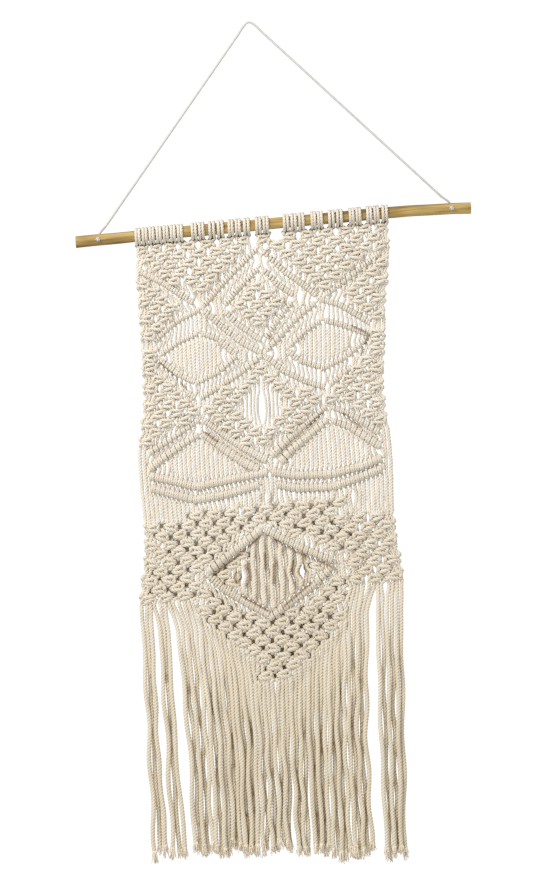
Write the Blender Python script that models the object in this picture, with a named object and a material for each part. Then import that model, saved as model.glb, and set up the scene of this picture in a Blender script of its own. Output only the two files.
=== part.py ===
"""Macrame wall hanging: a knotted cotton panel on a wooden rod, with its hanging cord and its fringe.

Blender units are metres, +Z up. The origin is the top of the hanging cord, where it goes over its
nail. The front faces -Y and the wall is behind, at +Y. The rod hangs with its right end a little
high, and the knotted panel hangs plumb from it.

Sizes below are in millimetres. A place on the panel is written (u, v): u runs along the rod from
the middle of the panel, and v is the plumb drop below the rod's axis. place() turns them into metres.
"""
import math

import bmesh
import bpy
from mathutils import Matrix, Vector
from mathutils.geometry import delaunay_2d_cdt

MM = 0.001

# ------------------------------------------------------------------ driving dimensions (millimetres)
ROD_MIDDLE = (2.6, -207.0)       # x and z of the rod's axis under the panel's middle
ROD_TILT = math.radians(2.75)    # the right end is the higher one
ROD_RADIUS = 6.0
ROD_ENDS = (-188.0, 213.0)       # u of its two sawn ends
ROD_CHAMFER = 1.0                # at each sawn end, along the stick
ROD_END_RADIUS = 5.4
ROD_PIECES = 12                  # straight stretches that the stick is made of
ROD_BEND_START = 125.0           # u from which the stick droops
ROD_BEND_DROP = 3.2              # droop at its right end
ROD_BEND_POWER = 1.6
GAP = 0.3                        # clearance between pieces that touch

CORD_DIAMETER = 2.5
CORD_HOLES = (-165.5, 194.0)     # u of the two drilled holes
HOLE_DIAMETER = 3.2
DRILL_LENGTH = 24.0
CORD_BEND = 5.0                  # radius of the turn into a hole, behind the rod
CORD_BEND_STEPS = 4
CORD_STEP = 13.0
KNOT_SIZE = (3.4, 2.2, 2.4)      # half sizes of the stopper knot in front of a hole

STRANDS = 56
STRAND_INSET = 2.3               # from the panel's edge to the middle of its outermost strand
MIDDLE_SLOT = 27.5               # this hangs at MIDDLE_U all the way, and each half beside it is even
MIDDLE_U = -7.5
WRAPS_HOLD = (45.0, 90.0)        # the strands hang below their wraps down to one drop, evenly from the next
WRAP_RADIUS = 10.0
WRAP_GROOVE = 1.1                # how deep the groove is between two wraps
GROOVE_SHARE = 0.08              # where the groove ends, as a share of a lark's head's width
WRAP_SIDES = 11
PANEL_TOP = 8.2
PANEL_TOP_ENDS = (-128.0, 126.0)

FIRST_ROW = 14.0                 # v of the first row of square knots
ROW_PITCH = 8.85
INNER_SHIFT = 3.8                # the rows in the upper diamond hang lower by this
INNER_FIELD = 2
GAP_HALF = (2.4, 2.7)            # half width and half height of the gap between two square knots
OPEN_DOWN_TO = 236.0             # below this the knots are pulled close, and their gaps stay shut
KNOT_OFF_BAR = 8.0               # a square knot's middle stays this far from a bar's middle
GAP_APART = 9.0                  # the least between the middles of two gaps
SHORTEST_RUN = 8.0               # the least length of a plain cord that is raised

# half thicknesses of the panel
HALF_PLAIN = 1.7
HALF_RIM = 1.5
HALF_KNOT = 4.6
HALF_CREST = 2.3
HALF_VALLEY = 1.2
HALF_BAR = (5.0, 4.1)            # on a hitch, and between two hitches
BAR_HALF_WIDTH = 4.0
BAR_CLEAR = 1.4                  # what a gap leaves of the cloth beside a bar
BAR_SLOPE = 1.45                 # a sloping bar's height on a plumb line, against its width
BAR_STEP = 8.4                   # from one ridge across a bar to the next groove
BAR_EDGE_STEP = 24.0

FRINGE_GAP = 0.8                 # measured plumb, along the sloping edges it is about 0.4
STRIP_HEIGHT = 5.0
ROOT_RUN = 14.0                  # a strand hangs straight for this much under the strip
STRAND_WIDTH = 3.8
STRAND_DEPTH = 3.6
FRINGE_BEND = 430.0              # v where a strand starts to draw into its lock
FRINGE_MIDDLE = 520.0
FRINGE_LATE = 0.6                # where the last bend lies between the middle and the tip
LAYER = 2.3                      # crowded strands stand this far before and behind each other

# the panel's two sides: drop, left edge, right edge
SIDES = (
    (0.0, -130.5, 128.0), (50.0, -130.5, 126.0), (100.0, -128.0, 123.0), (150.0, -128.0, 119.5),
    (180.0, -129.5, 117.0), (200.0, -133.5, 119.0), (250.0, -135.5, 123.0), (300.0, -133.0, 122.0),
    (335.0, -136.0, 124.5), (360.0, -140.5, 128.5), (372.0, -142.0, 129.0),
)
# the notch in the top edge, under the rod's bare stretch
NOTCH = ((9.0, PANEL_TOP), (12.0, 14.0), (15.0, 17.5), (18.0, 14.0), (22.0, PANEL_TOP))
# the lower edge of the knotting, left to right
LOWER_EDGE = (
    (-150.0, 373.0), (-88.0, 373.0), (-82.0, 380.0), (-55.0, 415.0), (-30.0, 440.0), (-7.5, 462.0),
    (20.0, 445.0), (45.0, 425.0), (66.0, 402.0), (74.0, 374.0), (150.0, 374.0),
)
# lark's heads on the rod, in bunches: how many wraps (two for each lark's head), left end, right end
BUNCHES = (
    (14, -129.0, -79.0), (4, -72.0, -57.0), (4, -54.5, -37.0), (4, -34.5, -20.0), (2, -19.0, -10.5),
    (4, -6.5, 8.5), (6, 21.5, 45.0), (4, 50.0, 63.5), (4, 67.5, 84.0), (4, 89.0, 102.5),
    (4, 106.5, 121.0), (2, 122.0, 130.0),
)
# clove-hitch lines: each row is one bar, through these places
BARS = {
    "diamond_outer_left": ((-3, 22), (-27, 42), (-46, 60), (-64, 79)),
    "diamond_outer_right": ((-3, 22), (9, 36), (22, 50), (40, 65), (56, 81)),
    "diamond_inner_left": ((-3, 42), (-27, 63), (-43, 81)),
    "diamond_inner_right": ((-3, 42), (14, 62), (33, 77)),
    "diamond_low_left": ((-43, 81), (-30, 97), (-3, 119)),
    "diamond_low_right": ((33, 77), (22, 87), (8, 104), (-3, 119)),
    "crossing_left": ((-64, 79), (-46, 98), (-26, 117), (-4, 131)),
    "crossing_right": ((56, 81), (33, 97), (20, 109), (-4, 131)),
    "left_eye_brow": ((-64, 79), (-85, 87), (-100, 96), (-117, 112)),
    "right_eye_brow": ((56, 81), (75, 88), (90, 98), (110, 113)),
    "left_eye_top": ((-112, 124), (-90, 111), (-68, 103), (-50, 111), (-31, 130)),
    "right_eye_top": ((20, 128), (38, 113), (57, 102), (75, 108), (106, 122)),
    "left_eye_low": ((-112, 124), (-92, 143), (-73, 154), (-50, 145), (-31, 130)),
    "right_eye_low": ((20, 128), (32, 141), (57, 151), (80, 142), (106, 122)),
    "middle_top_left": ((-4, 131), (-28, 148), (-50, 160), (-72, 171)),
    "middle_top_right": ((-4, 131), (16, 150), (38, 163), (58, 171)),
    "left_cheek": ((-72, 171), (-84, 162)),
    "right_cheek": ((58, 171), (72, 162), (88, 150)),
    "low_left_brow": ((-70, 190), (-92, 203), (-112, 214), (-127, 222)),
    "low_left_lid": ((-70, 205), (-92, 216), (-112, 228), (-127, 238)),
    "low_left_nose": ((-70, 190), (-50, 207), (-28, 224), (-5, 239)),
    "low_left_under": ((-70, 205), (-50, 222), (-30, 238), (-14, 248)),
    "low_right_nose": ((59, 189), (40, 203), (18, 219), (-5, 239)),
    "low_right_under": ((59, 203), (40, 217), (20, 231), (5, 246)),
    "low_right_brow": ((59, 189), (80, 199), (98, 212), (115, 225)),
    "low_right_lid": ((59, 203), (80, 213), (98, 226), (114, 238)),
    "left_sill": ((-127, 243), (-100, 251), (-78, 259), (-45, 255), (-10, 251)),
    "left_sill_low": ((-126, 255), (-102, 264), (-80, 272), (-50, 270), (-10, 262)),
    "right_sill": ((4, 251), (22, 257), (60, 259), (90, 254), (115, 246)),
    "right_sill_low": ((4, 264), (24, 270), (60, 272), (85, 266), (115, 257)),
    "ridge_left": ((-12, 307), (-34, 322), (-55, 335.5), (-71, 347)),
    "ridge_right": ((-12, 307), (11, 322), (36, 336), (61, 348)),
    "ridge_low_left": ((-71, 347), (-56, 364), (-31, 382), (-7, 397)),
    "ridge_low_right": ((61, 348), (38, 369), (17, 382), (-7, 397)),
}
# places with square knots all over, as outlines
FIELDS = (
    ((-140, 8), (-3, 8), (-3, 15), (-32, 38), (-52, 58), (-66, 72), (-88, 81), (-118, 104), (-119, 128),
     (-94, 153), (-88, 166), (-75, 178), (-72, 184), (-96, 199), (-140, 224)),
    ((-3, 8), (140, 8), (140, 226), (110, 213), (85, 195), (62, 182), (64, 174), (90, 156), (113, 124),
     (110, 106), (90, 91), (60, 75), (42, 59), (22, 41), (-3, 15)),
    ((-3, 50), (-38, 82), (-3, 113), (28, 77)),
    ((-4, 138), (-30, 155), (-66, 176), (-66, 186), (-28, 217), (-5, 232), (20, 212), (54, 185),
     (52, 176), (20, 160)),
    ((-82, 282), (70, 282), (70, 342), (-12, 300), (-76, 342), (-86, 330)),
    ((-86, 330), (-74, 349), (-57, 368), (-6, 402), (39, 372), (64, 349), (70, 342), (70, 396),
     (58, 406), (20, 441), (10, 462), (-16, 462), (-30, 438), (-84, 378)),
    ((-140, 292), (-85, 292), (-85, 372), (-140, 372)),
    ((71, 298), (130, 298), (130, 374), (71, 374)),
    ((-62, 352), (-46, 348), (-46, 362), (-52, 364)),
    ((30, 350), (48, 352), (34, 366)),
)
# places where the cords run plain and side by side, as outlines
WINDOWS = (
    ((-106, 124), (-90, 116), (-68, 108), (-52, 116), (-37, 130), (-50, 139), (-73, 148), (-91, 137)),
    ((27, 128), (40, 118), (57, 107), (75, 113), (98, 123), (80, 136), (57, 145), (36, 137)),
    ((-108, 111), (-84, 94), (-65, 87), (-50, 101), (-42, 111), (-50, 106), (-68, 98), (-90, 106)),
    ((28, 109), (40, 98), (56, 89), (75, 95), (98, 110), (75, 103), (57, 97), (38, 108)),
    ((-118, 237), (-92, 222), (-70, 211), (-50, 228), (-28, 247), (-45, 250), (-78, 254), (-104, 245)),
    ((15, 248), (40, 224), (59, 209), (80, 219), (108, 238), (90, 248), (60, 254), (26, 252)),
    ((-130, 262), (-104, 271), (-82, 280), (-84, 290), (-130, 290)),
    ((78, 274), (112, 262), (122, 262), (122, 296), (76, 296)),
    ((-24, 170), (20, 170), (18, 200), (-26, 200)),
    ((-34, 346), (-12, 329), (14, 342), (14, 376), (-6, 391), (-32, 376)),
)
# single gaps that are larger than the ones between knots: u, v, width, height
LARGE_GAPS = (
    (38.5, 74.5, 7.0, 11.0), (-73.0, 179.5, 6.0, 7.0), (-85.0, 177.0, 6.0, 6.0), (69.0, 177.5, 6.5, 7.0),
    (85.0, 177.0, 5.0, 5.5), (-8.0, 185.0, 5.0, 26.0), (-25.0, 183.0, 4.2, 14.0), (3.0, 186.0, 4.2, 16.0),
    (13.5, 186.0, 4.2, 12.0), (-41.0, 353.5, 5.5, 6.5), (24.0, 354.0, 5.5, 8.0), (-27.0, 138.5, 4.6, 6.0),
    (-3.5, 246.0, 5.0, 6.0), (-7.0, 257.5, 4.4, 5.0), (-86.5, 267.0, 4.2, 7.0), (-77.0, 266.0, 4.2, 5.0),
    (-8.0, 272.0, 4.2, 8.0), (3.0, 280.0, 4.2, 8.0), (-25.0, 279.0, 4.2, 6.0), (-96.0, 281.0, 4.2, 9.0),
    (-87.0, 297.0, 4.2, 12.0), (69.0, 303.0, 5.5, 15.0), (-84.5, 356.0, 4.4, 9.0), (12.0, 286.0, 4.2, 6.0),
    (69.0, 360.0, 4.4, 9.0), (-68.0, 295.0, 4.2, 6.0), (6.0, 296.0, 4.2, 7.0), (79.0, 283.0, 4.2, 9.0),
)
# open slits between the two lines of the upper diamond: their u, upper bar, lower bar
SLITS = (
    ((-3.0, -12.0, -21.0, -30.0, -39.0), "diamond_outer_left", "diamond_inner_left"),
    ((6.0, 14.5, 23.5), "diamond_outer_right", "diamond_inner_right"),
    ((-50.5,), "diamond_outer_left", "crossing_left"),
    ((-37.0, -28.0), "diamond_low_left", "crossing_left"),
    ((31.0,), "diamond_low_right", "crossing_right"),
)
SLIT_WIDTH = 4.2
SLIT_LEAST = 2.0                 # a slit that would be shorter than this is left shut
# locks of the fringe: strands, left and right at the middle, left and right at the end, end drop,
# how far the lock is set back, and the share of its way to the middle that it makes at once
LOCKS = (
    (3, -137.5, -129.5, -137.0, -125.5, 634.0, 0.0, 0.6),
    (3, -119.0, -111.5, -118.5, -106.0, 631.0, 0.0, 0.6),
    (5, -96.5, -79.0, -96.0, -78.5, 627.0, 0.0, 0.0), (4, -74.5, -62.0, -73.5, -61.0, 636.0, 0.0, 0.0),
    (3, -57.5, -49.5, -56.5, -50.0, 628.0, 2.4, 0.0), (5, -45.0, -30.0, -45.5, -32.0, 638.0, 0.0, 0.0),
    (4, -25.5, -14.5, -26.5, -13.5, 634.0, 0.0, 0.0), (4, -10.0, 3.0, -9.0, 0.5, 634.0, 0.0, 0.0),
    (4, 7.5, 20.0, 8.5, 18.5, 645.0, 0.0, 0.0), (5, 24.5, 41.0, 26.0, 40.0, 642.0, 0.0, 0.0),
    (5, 45.5, 61.0, 45.0, 61.0, 650.0, 0.0, 0.0), (5, 65.5, 82.5, 67.0, 83.5, 645.0, 0.0, 0.0),
    (6, 98.0, 120.5, 98.5, 116.5, 652.0, 0.0, 0.0),
)
FRINGE_UNEVEN = 5.0              # how far the ends of a lock differ from each other
UNEVEN_STEP = 2.4                # radians from one strand to the next

COLOURS = {                      # base colour, roughness
    "rod": ((0.36, 0.24, 0.12), 0.62),
    "hanging_cord": ((0.72, 0.70, 0.66), 0.9),
    "knotted_panel": ((0.76, 0.70, 0.60), 0.95),
    "fringe": ((0.72, 0.65, 0.53), 0.95),
}


# ------------------------------------------------------------------ places
def place(u, v, y=0.0):
    """The point in metres at u along the rod, v below its axis and y behind it."""
    x = ROD_MIDDLE[0] + u * math.cos(ROD_TILT)
    z = ROD_MIDDLE[1] + u * math.sin(ROD_TILT) - v
    return Vector((x, y, z)) * MM


def rod_drop(u):
    """How far the stick's axis lies under its straight line."""
    past = max(0.0, u - ROD_BEND_START) / (ROD_ENDS[1] - ROD_BEND_START)
    return ROD_BEND_DROP * past ** ROD_BEND_POWER


def along(rows, x, column=1):
    """The column's value at x, straight between the table's rows."""
    if x <= rows[0][0]:
        return rows[0][column]
    for low, high in zip(rows, rows[1:]):
        if x <= high[0]:
            share = (x - low[0]) / (high[0] - low[0])
            return low[column] + share * (high[column] - low[column])
    return rows[-1][column]


def wrap_places():
    """u of each wrap on the rod, one for each strand."""
    return [left + (index + 0.5) * (right - left) / wraps
            for wraps, left, right in BUNCHES for index in range(wraps)]


def slot_u(slot, v):
    """u of a strand's middle; strands are numbered 0 to 55 from the left."""
    left = along(SIDES, v, 1) + STRAND_INSET
    right = along(SIDES, v, 2) - STRAND_INSET
    even = along(((0, left), (MIDDLE_SLOT, MIDDLE_U), (STRANDS - 1, right)), slot)
    under = along(tuple(enumerate(wrap_places())), slot)
    return even + along(((WRAPS_HOLD[0], 1.0), (WRAPS_HOLD[1], 0.0)), v) * (under - even)


def bar_v(name, u):
    """v of a bar's middle at u."""
    return along(sorted(BARS[name]), u)


def inside(outline, u, v):
    """Whether a place lies inside an outline."""
    odd = False
    for (ua, va), (ub, vb) in zip(outline, outline[1:] + outline[:1]):
        if (va > v) != (vb > v) and u < ua + (v - va) / (vb - va) * (ub - ua):
            odd = not odd
    return odd


def span_at(outline, u):
    """Lowest and highest v of an outline on the plumb line at u, or None."""
    hits = []
    for (ua, va), (ub, vb) in zip(outline, outline[1:] + outline[:1]):
        if (ua > u) != (ub > u):
            hits.append(va + (u - ua) / (ub - ua) * (vb - va))
    return (min(hits), max(hits)) if len(hits) >= 2 else None


def off_segment(u, v, a, b):
    """Distance from a place to the straight run from a to b."""
    run = (b[0] - a[0], b[1] - a[1])
    share = ((u - a[0]) * run[0] + (v - a[1]) * run[1]) / (run[0] ** 2 + run[1] ** 2)
    share = min(1.0, max(0.0, share))
    return math.hypot(u - a[0] - share * run[0], v - a[1] - share * run[1])


def off_bars(u, v):
    """Distance from a place to the nearest bar's middle."""
    return min(off_segment(u, v, a, b) for bar in BARS.values() for a, b in zip(bar, bar[1:]))


def stations(run, step):
    """Places at even steps along a run of straight stretches, its own corners left out but the ends."""
    lengths = [math.dist(a, b) for a, b in zip(run, run[1:])]
    count = max(2, round(sum(lengths) / step))
    found = []
    for index in range(count + 1):
        left = sum(lengths) * index / count
        for (a, b), length in zip(zip(run, run[1:]), lengths):
            if left <= length + 1e-9:
                share = left / length
                found.append((a[0] + share * (b[0] - a[0]), a[1] + share * (b[1] - a[1])))
                break
            left -= length
    return found


# ------------------------------------------------------------------ objects and modifiers
def collection(name):
    """A new collection in the scene."""
    made = bpy.data.collections.new(name)
    bpy.context.scene.collection.children.link(made)
    return made


def material(name):
    """A Principled material with the piece's own colour."""
    colour, roughness = COLOURS[name]
    made = bpy.data.materials.new(name)
    made.use_nodes = True
    shader = made.node_tree.nodes["Principled BSDF"]
    shader.inputs["Base Color"].default_value = (*colour, 1.0)
    shader.inputs["Roughness"].default_value = roughness
    shader.inputs["Metallic"].default_value = 0.0
    return made


def object_from(bm, name, where, finish=None):
    """A mesh object made from a bmesh, which is freed."""
    mesh = bpy.data.meshes.new(name)
    bm.to_mesh(mesh)
    bm.free()
    made = bpy.data.objects.new(name, mesh)
    where.objects.link(made)
    if finish:
        mesh.materials.append(finish)
    return made


def tube(name, points, radii, sides_level, where, finish):
    """A closed round tube along points, as a welded mesh."""
    curve = bpy.data.curves.new(name, "CURVE")
    curve.dimensions = "3D"
    curve.bevel_depth = 1.0 * MM
    curve.bevel_resolution = sides_level
    curve.use_fill_caps = True
    spline = curve.splines.new("POLY")
    spline.points.add(len(points) - 1)
    for knot, point, radius in zip(spline.points, points, radii):
        knot.co = (*point, 1.0)
        knot.radius = radius
    guide = bpy.data.objects.new(name + "_route", curve)
    where.objects.link(guide)
    bpy.context.view_layer.update()
    mesh = bpy.data.meshes.new_from_object(guide.evaluated_get(bpy.context.evaluated_depsgraph_get()))
    bpy.data.objects.remove(guide)
    bm = bmesh.new()
    bm.from_mesh(mesh)
    bmesh.ops.remove_doubles(bm, verts=bm.verts, dist=0.00001)
    bmesh.ops.recalc_face_normals(bm, faces=bm.faces)
    made = object_from(bm, name, where, finish)
    made.data.shade_smooth()
    return made


def boolean(target, other, operation):
    """A live Boolean that joins or cuts the target."""
    step = target.modifiers.new(operation.lower(), "BOOLEAN")
    step.operation = operation
    step.solver = "EXACT"
    step.object = other
    other.hide_render = True
    other.display_type = "WIRE"


# ------------------------------------------------------------------ rod and hanging cord
def build_rod(parts, cutters):
    """The stick, sawn off at both ends, with a hole drilled front to back near each end."""
    start, end = ROD_ENDS[0] + ROD_CHAMFER, ROD_ENDS[1] - ROD_CHAMFER
    between = [start + (end - start) * step / ROD_PIECES for step in range(ROD_PIECES + 1)]
    stops = [ROD_ENDS[0], *between, ROD_ENDS[1]]
    radii = [ROD_END_RADIUS if u in ROD_ENDS else ROD_RADIUS for u in stops]
    points = [place(u, rod_drop(u)) for u in stops]
    rod = tube("rod", points, radii, 4, parts, material("rod"))
    for side, u in zip(("left", "right"), CORD_HOLES):
        bpy.ops.mesh.primitive_cylinder_add(
            vertices=12, radius=HOLE_DIAMETER / 2 * MM, depth=DRILL_LENGTH * MM,
            location=place(u, rod_drop(u)), rotation=(math.pi / 2, 0.0, 0.0))
        drill = bpy.context.object
        drill.name = f"drill_{side}"
        for owner in list(drill.users_collection):
            owner.objects.unlink(drill)
        cutters.objects.link(drill)
        boolean(rod, drill, "DIFFERENCE")


def cord_route():
    """The hanging cord: out of the left hole behind the rod, round the nail, and into the right hole."""
    nail = Vector((0.0, 0.0, -(CORD_DIAMETER / 2 + CORD_BEND))) * MM
    halves, leans = [], []
    for u in CORD_HOLES:
        drop = rod_drop(u)
        mouth = [place(u, drop, y) for y in (-ROD_RADIUS, ROD_RADIUS)]
        turn = []
        for step in range(1, CORD_BEND_STEPS + 1):
            angle = math.pi / 2 * step / CORD_BEND_STEPS
            rise = CORD_BEND * (1 - math.cos(angle))
            turn.append(place(u, drop - rise, ROD_RADIUS + CORD_BEND * math.sin(angle)))
        foot = turn[-1]
        lean = math.copysign(math.atan2(-foot.z, abs(foot.x)), foot.x)
        top = nail + Vector((math.sin(lean), 0.0, math.cos(lean))) * CORD_BEND * MM
        count = round((top - foot).length / (CORD_STEP * MM))
        halves.append(mouth + turn + [foot.lerp(top, i / count) for i in range(1, count + 1)])
        leans.append(lean)
    over = [leans[0] + (leans[1] - leans[0]) * share for share in (0.25, 0.5, 0.75)]
    arc = [nail + Vector((math.sin(lean), 0.0, math.cos(lean))) * CORD_BEND * MM for lean in over]
    return halves[0] + arc + halves[1][::-1]


def build_hanging_cord(parts):
    """The thin hanging cord and the stopper knot at each of its ends."""
    points = cord_route()
    tube("hanging_cord", points, [CORD_DIAMETER / 2] * len(points), 2, parts, material("hanging_cord"))
    for side, u in zip(("left", "right"), CORD_HOLES):
        bm = bmesh.new()
        bmesh.ops.create_uvsphere(bm, u_segments=8, v_segments=6, radius=1.0)
        bmesh.ops.transform(bm, matrix=Matrix.Diagonal((*(size * MM for size in KNOT_SIZE), 1.0)),
                            verts=bm.verts)
        middle = place(u, rod_drop(u), -(ROD_RADIUS + GAP + KNOT_SIZE[1]))
        bmesh.ops.translate(bm, verts=bm.verts, vec=middle)
        knot = object_from(bm, f"stopper_knot_{side}", parts, bpy.data.materials["hanging_cord"])
        knot.data.shade_smooth()


# ------------------------------------------------------------------ knotted panel
class NetPlan:
    """The flat plan of the panel: its points, the lines between them, and its gaps."""

    def __init__(self):
        self.points = []
        self.lines = []
        self.loops = []
        self.halves = {}

    def point(self, u, v, half):
        """Adds a place with its half thickness."""
        self.points.append(Vector((u, v)))
        self.halves[len(self.points) - 1] = half
        return len(self.points) - 1

    def line(self, places, half):
        """Adds a line through places."""
        found = [self.point(u, v, half) for u, v in places]
        self.lines.extend(zip(found, found[1:]))

    def loop(self, places, half):
        """Adds a closed outline: the first is the panel's own, the others are its gaps."""
        found = [self.point(u, v, half) for u, v in places]
        self.loops.append(found)


def panel_outline():
    """The panel's edge, with a notch under the rod's bare stretch."""
    top = [(PANEL_TOP_ENDS[0], PANEL_TOP), *NOTCH, (PANEL_TOP_ENDS[1], PANEL_TOP)]
    right = [(row[2], row[0]) for row in SIDES[1:-1]] + [(SIDES[-2][2], LOWER_EDGE[-1][1])]
    low = list(LOWER_EDGE[-2:0:-1])
    left = [(SIDES[-1][1] + 1.0, LOWER_EDGE[0][1])] + [(row[1], row[0]) for row in SIDES[-2:0:-1]]
    return top + right + low + left


def square_knots():
    """Rows of (u, v, first slot) for each square knot that lies in a field, clear of the bars."""
    rows = []
    for level in range(math.ceil((max(spot[1] for spot in LOWER_EDGE) - FIRST_ROW) / ROW_PITCH)):
        for inner in (False, True):
            v = FIRST_ROW + level * ROW_PITCH + inner * INNER_SHIFT
            row = []
            for slot in range(2 * (level % 2), STRANDS - 3, 4):
                u = slot_u(slot + 1.5, v)
                held = any(inside(field, u, v) for index, field in enumerate(FIELDS)
                           if inner == (index == INNER_FIELD))
                if held and off_bars(u, v) > KNOT_OFF_BAR:
                    row.append((u, v, slot))
            rows.append(row)
    return rows


def diamond(u, v, half_width, half_height):
    """A four-cornered gap."""
    return ((u, v - half_height), (u + half_width, v), (u, v + half_height), (u - half_width, v))


def slot_shape(u, v, width, height):
    """A six-cornered tall gap, pointed above and below."""
    half, tall = width / 2, height / 2
    return ((u, v - tall), (u + half, v - tall + half), (u + half, v + tall - half), (u, v + tall),
            (u - half, v + tall - half), (u - half, v - tall + half))


def net_gaps(knots):
    """Outlines of every gap that is cut through the panel."""
    gaps = [slot_shape(*row) for row in LARGE_GAPS]
    middles = [row[:2] for row in LARGE_GAPS]
    reach = BAR_HALF_WIDTH + BAR_CLEAR
    slits = [(u, upper, lower) for places, upper, lower in SLITS for u in places]
    for u, upper, lower in slits:
        sides = (u - SLIT_WIDTH / 2, u + SLIT_WIDTH / 2)
        top = [bar_v(upper, side) + BAR_SLOPE * reach for side in sides]
        low = [bar_v(lower, side) - BAR_SLOPE * reach for side in sides]
        if min(low[0] - top[0], low[1] - top[1]) > SLIT_LEAST:
            gaps.append(((sides[0], top[0]), (sides[1], top[1]), (sides[1], low[1]), (sides[0], low[0])))
            middles.append((u, (top[0] + low[0]) / 2))
    for row in knots:
        for (ua, v, slot_a), (ub, _, slot_b) in zip(row, row[1:]):
            u = (ua + ub) / 2
            if slot_b - slot_a != 4 or v > OPEN_DOWN_TO or off_bars(u, v) < reach + GAP_HALF[1]:
                continue
            if min(math.dist((u, v), other) for other in middles) < GAP_APART:
                continue
            gaps.append(diamond(u, v, *GAP_HALF))
            middles.append((u, v))
    return gaps


def lay_bars(plan):
    """Each bar: a ridged crest between its two edges."""
    for bar in BARS.values():
        crest = stations(bar, BAR_STEP)
        found = [plan.point(u, v, HALF_BAR[index % 2]) for index, (u, v) in enumerate(crest)]
        plan.lines.extend(zip(found, found[1:]))
        sparse = stations(bar, BAR_EDGE_STEP)
        for side in (-1.0, 1.0):
            edge = []
            for index, (u, v) in enumerate(sparse):
                before, after = sparse[max(0, index - 1)], sparse[min(len(sparse) - 1, index + 1)]
                run = Vector((after[0] - before[0], after[1] - before[1])).normalized()
                edge.append((u - side * BAR_HALF_WIDTH * run.y, v + side * BAR_HALF_WIDTH * run.x))
            plan.line(edge, HALF_RIM)


def lay_strands(plan):
    """Where cords run plain, a crest along each and a valley between two."""
    for window in WINDOWS:
        for half_slot in range(2 * STRANDS - 1):
            middle_v = sum(spot[1] for spot in window) / len(window)
            u = slot_u(half_slot / 2, middle_v)
            span = span_at(window, u)
            if span and span[1] - span[0] > SHORTEST_RUN:
                half = HALF_VALLEY if half_slot % 2 else HALF_CREST
                plan.line(((u, span[0]), (u, span[1])), half)


def panel_plan():
    """The whole plan of the panel."""
    knots = square_knots()
    plan = NetPlan()
    plan.loop(panel_outline(), HALF_RIM)
    for gap in net_gaps(knots):
        plan.loop(gap, HALF_RIM)
    lay_bars(plan)
    lay_strands(plan)
    for row in knots:
        for u, v, _ in row:
            plan.point(u, v, HALF_KNOT)
        for (ua, v, _), (ub, _, _) in zip(row, row[1:]):
            if v > OPEN_DOWN_TO:
                plan.point((ua + ub) / 2, v, HALF_VALLEY)
    return plan


def bar_half(u, v):
    """Half thickness that the nearest bar gives a place: it slopes from its crest to its edges."""
    share = min(1.0, off_bars(u, v) / BAR_HALF_WIDTH)
    return HALF_BAR[1] + share * (HALF_RIM - HALF_BAR[1])


def raise_plan(plan):
    """The closed body of a plan: a front and a back face at each place's half thickness."""
    found = delaunay_2d_cdt(plan.points, plan.lines, plan.loops, 1, 0.05)
    spots, _, triangles, spot_sources, _, triangle_sources = found
    bm = bmesh.new()
    front, back = [], []
    for (u, v), sources in zip(spots, spot_sources):
        half = max([plan.halves[source] for source in sources] or [HALF_PLAIN])
        half = max(half, bar_half(u, v))
        front.append(bm.verts.new(place(u, v, -half)))
        back.append(bm.verts.new(place(u, v, half)))
    kept = [corners for corners, sources in zip(triangles, triangle_sources) if list(sources) == [0]]
    for corners in kept:
        bm.faces.new([front[corner] for corner in corners])
        bm.faces.new([back[corner] for corner in reversed(corners)])
    sides = {side for corners in kept for side in zip(corners, corners[1:] + corners[:1])}
    for a, b in sorted(sides):
        if (b, a) not in sides:
            bm.faces.new((front[b], front[a], back[a], back[b]))
    bmesh.ops.delete(bm, geom=[vert for vert in bm.verts if not vert.link_faces], context="VERTS")
    bmesh.ops.recalc_face_normals(bm, faces=bm.faces)
    return bm


def build_wraps(where):
    """The lark's heads round the rod: for each bunch a sleeve with one ridge for each of them."""
    bore = (ROD_RADIUS + GAP) / math.cos(math.pi / WRAP_SIDES)
    bm = bmesh.new()
    axis = (place(1.0, 0.0) - place(0.0, 0.0)).normalized()
    for wraps, left, right in BUNCHES:
        heads = wraps // 2
        pitch = (right - left) / heads
        rim = [(left, bore)]
        for head in range(heads):
            start = left + head * pitch
            rim.append((start + GROOVE_SHARE * pitch, WRAP_RADIUS - WRAP_GROOVE))
            rim.append((start + 0.5 * pitch, WRAP_RADIUS))
        rim.append((right - GROOVE_SHARE * pitch, WRAP_RADIUS - WRAP_GROOVE))
        rim.append((right, bore))
        verts = [bm.verts.new(place(u, -radius)) for u, radius in rim]
        edges = [bm.edges.new(pair) for pair in zip(verts, verts[1:] + verts[:1])]
        bmesh.ops.spin(bm, geom=verts + edges, cent=place(0.0, 0.0), axis=axis, angle=2 * math.pi,
                       steps=WRAP_SIDES, use_merge=True)
    bmesh.ops.remove_doubles(bm, verts=bm.verts, dist=0.00001)
    bmesh.ops.recalc_face_normals(bm, faces=bm.faces)
    return object_from(bm, "wraps", where)


def build_panel(parts, cutters):
    """The knotted panel, with its lark's heads round the rod."""
    panel = object_from(raise_plan(panel_plan()), "knotted_panel", parts, material("knotted_panel"))
    boolean(panel, build_wraps(cutters), "UNION")


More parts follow.
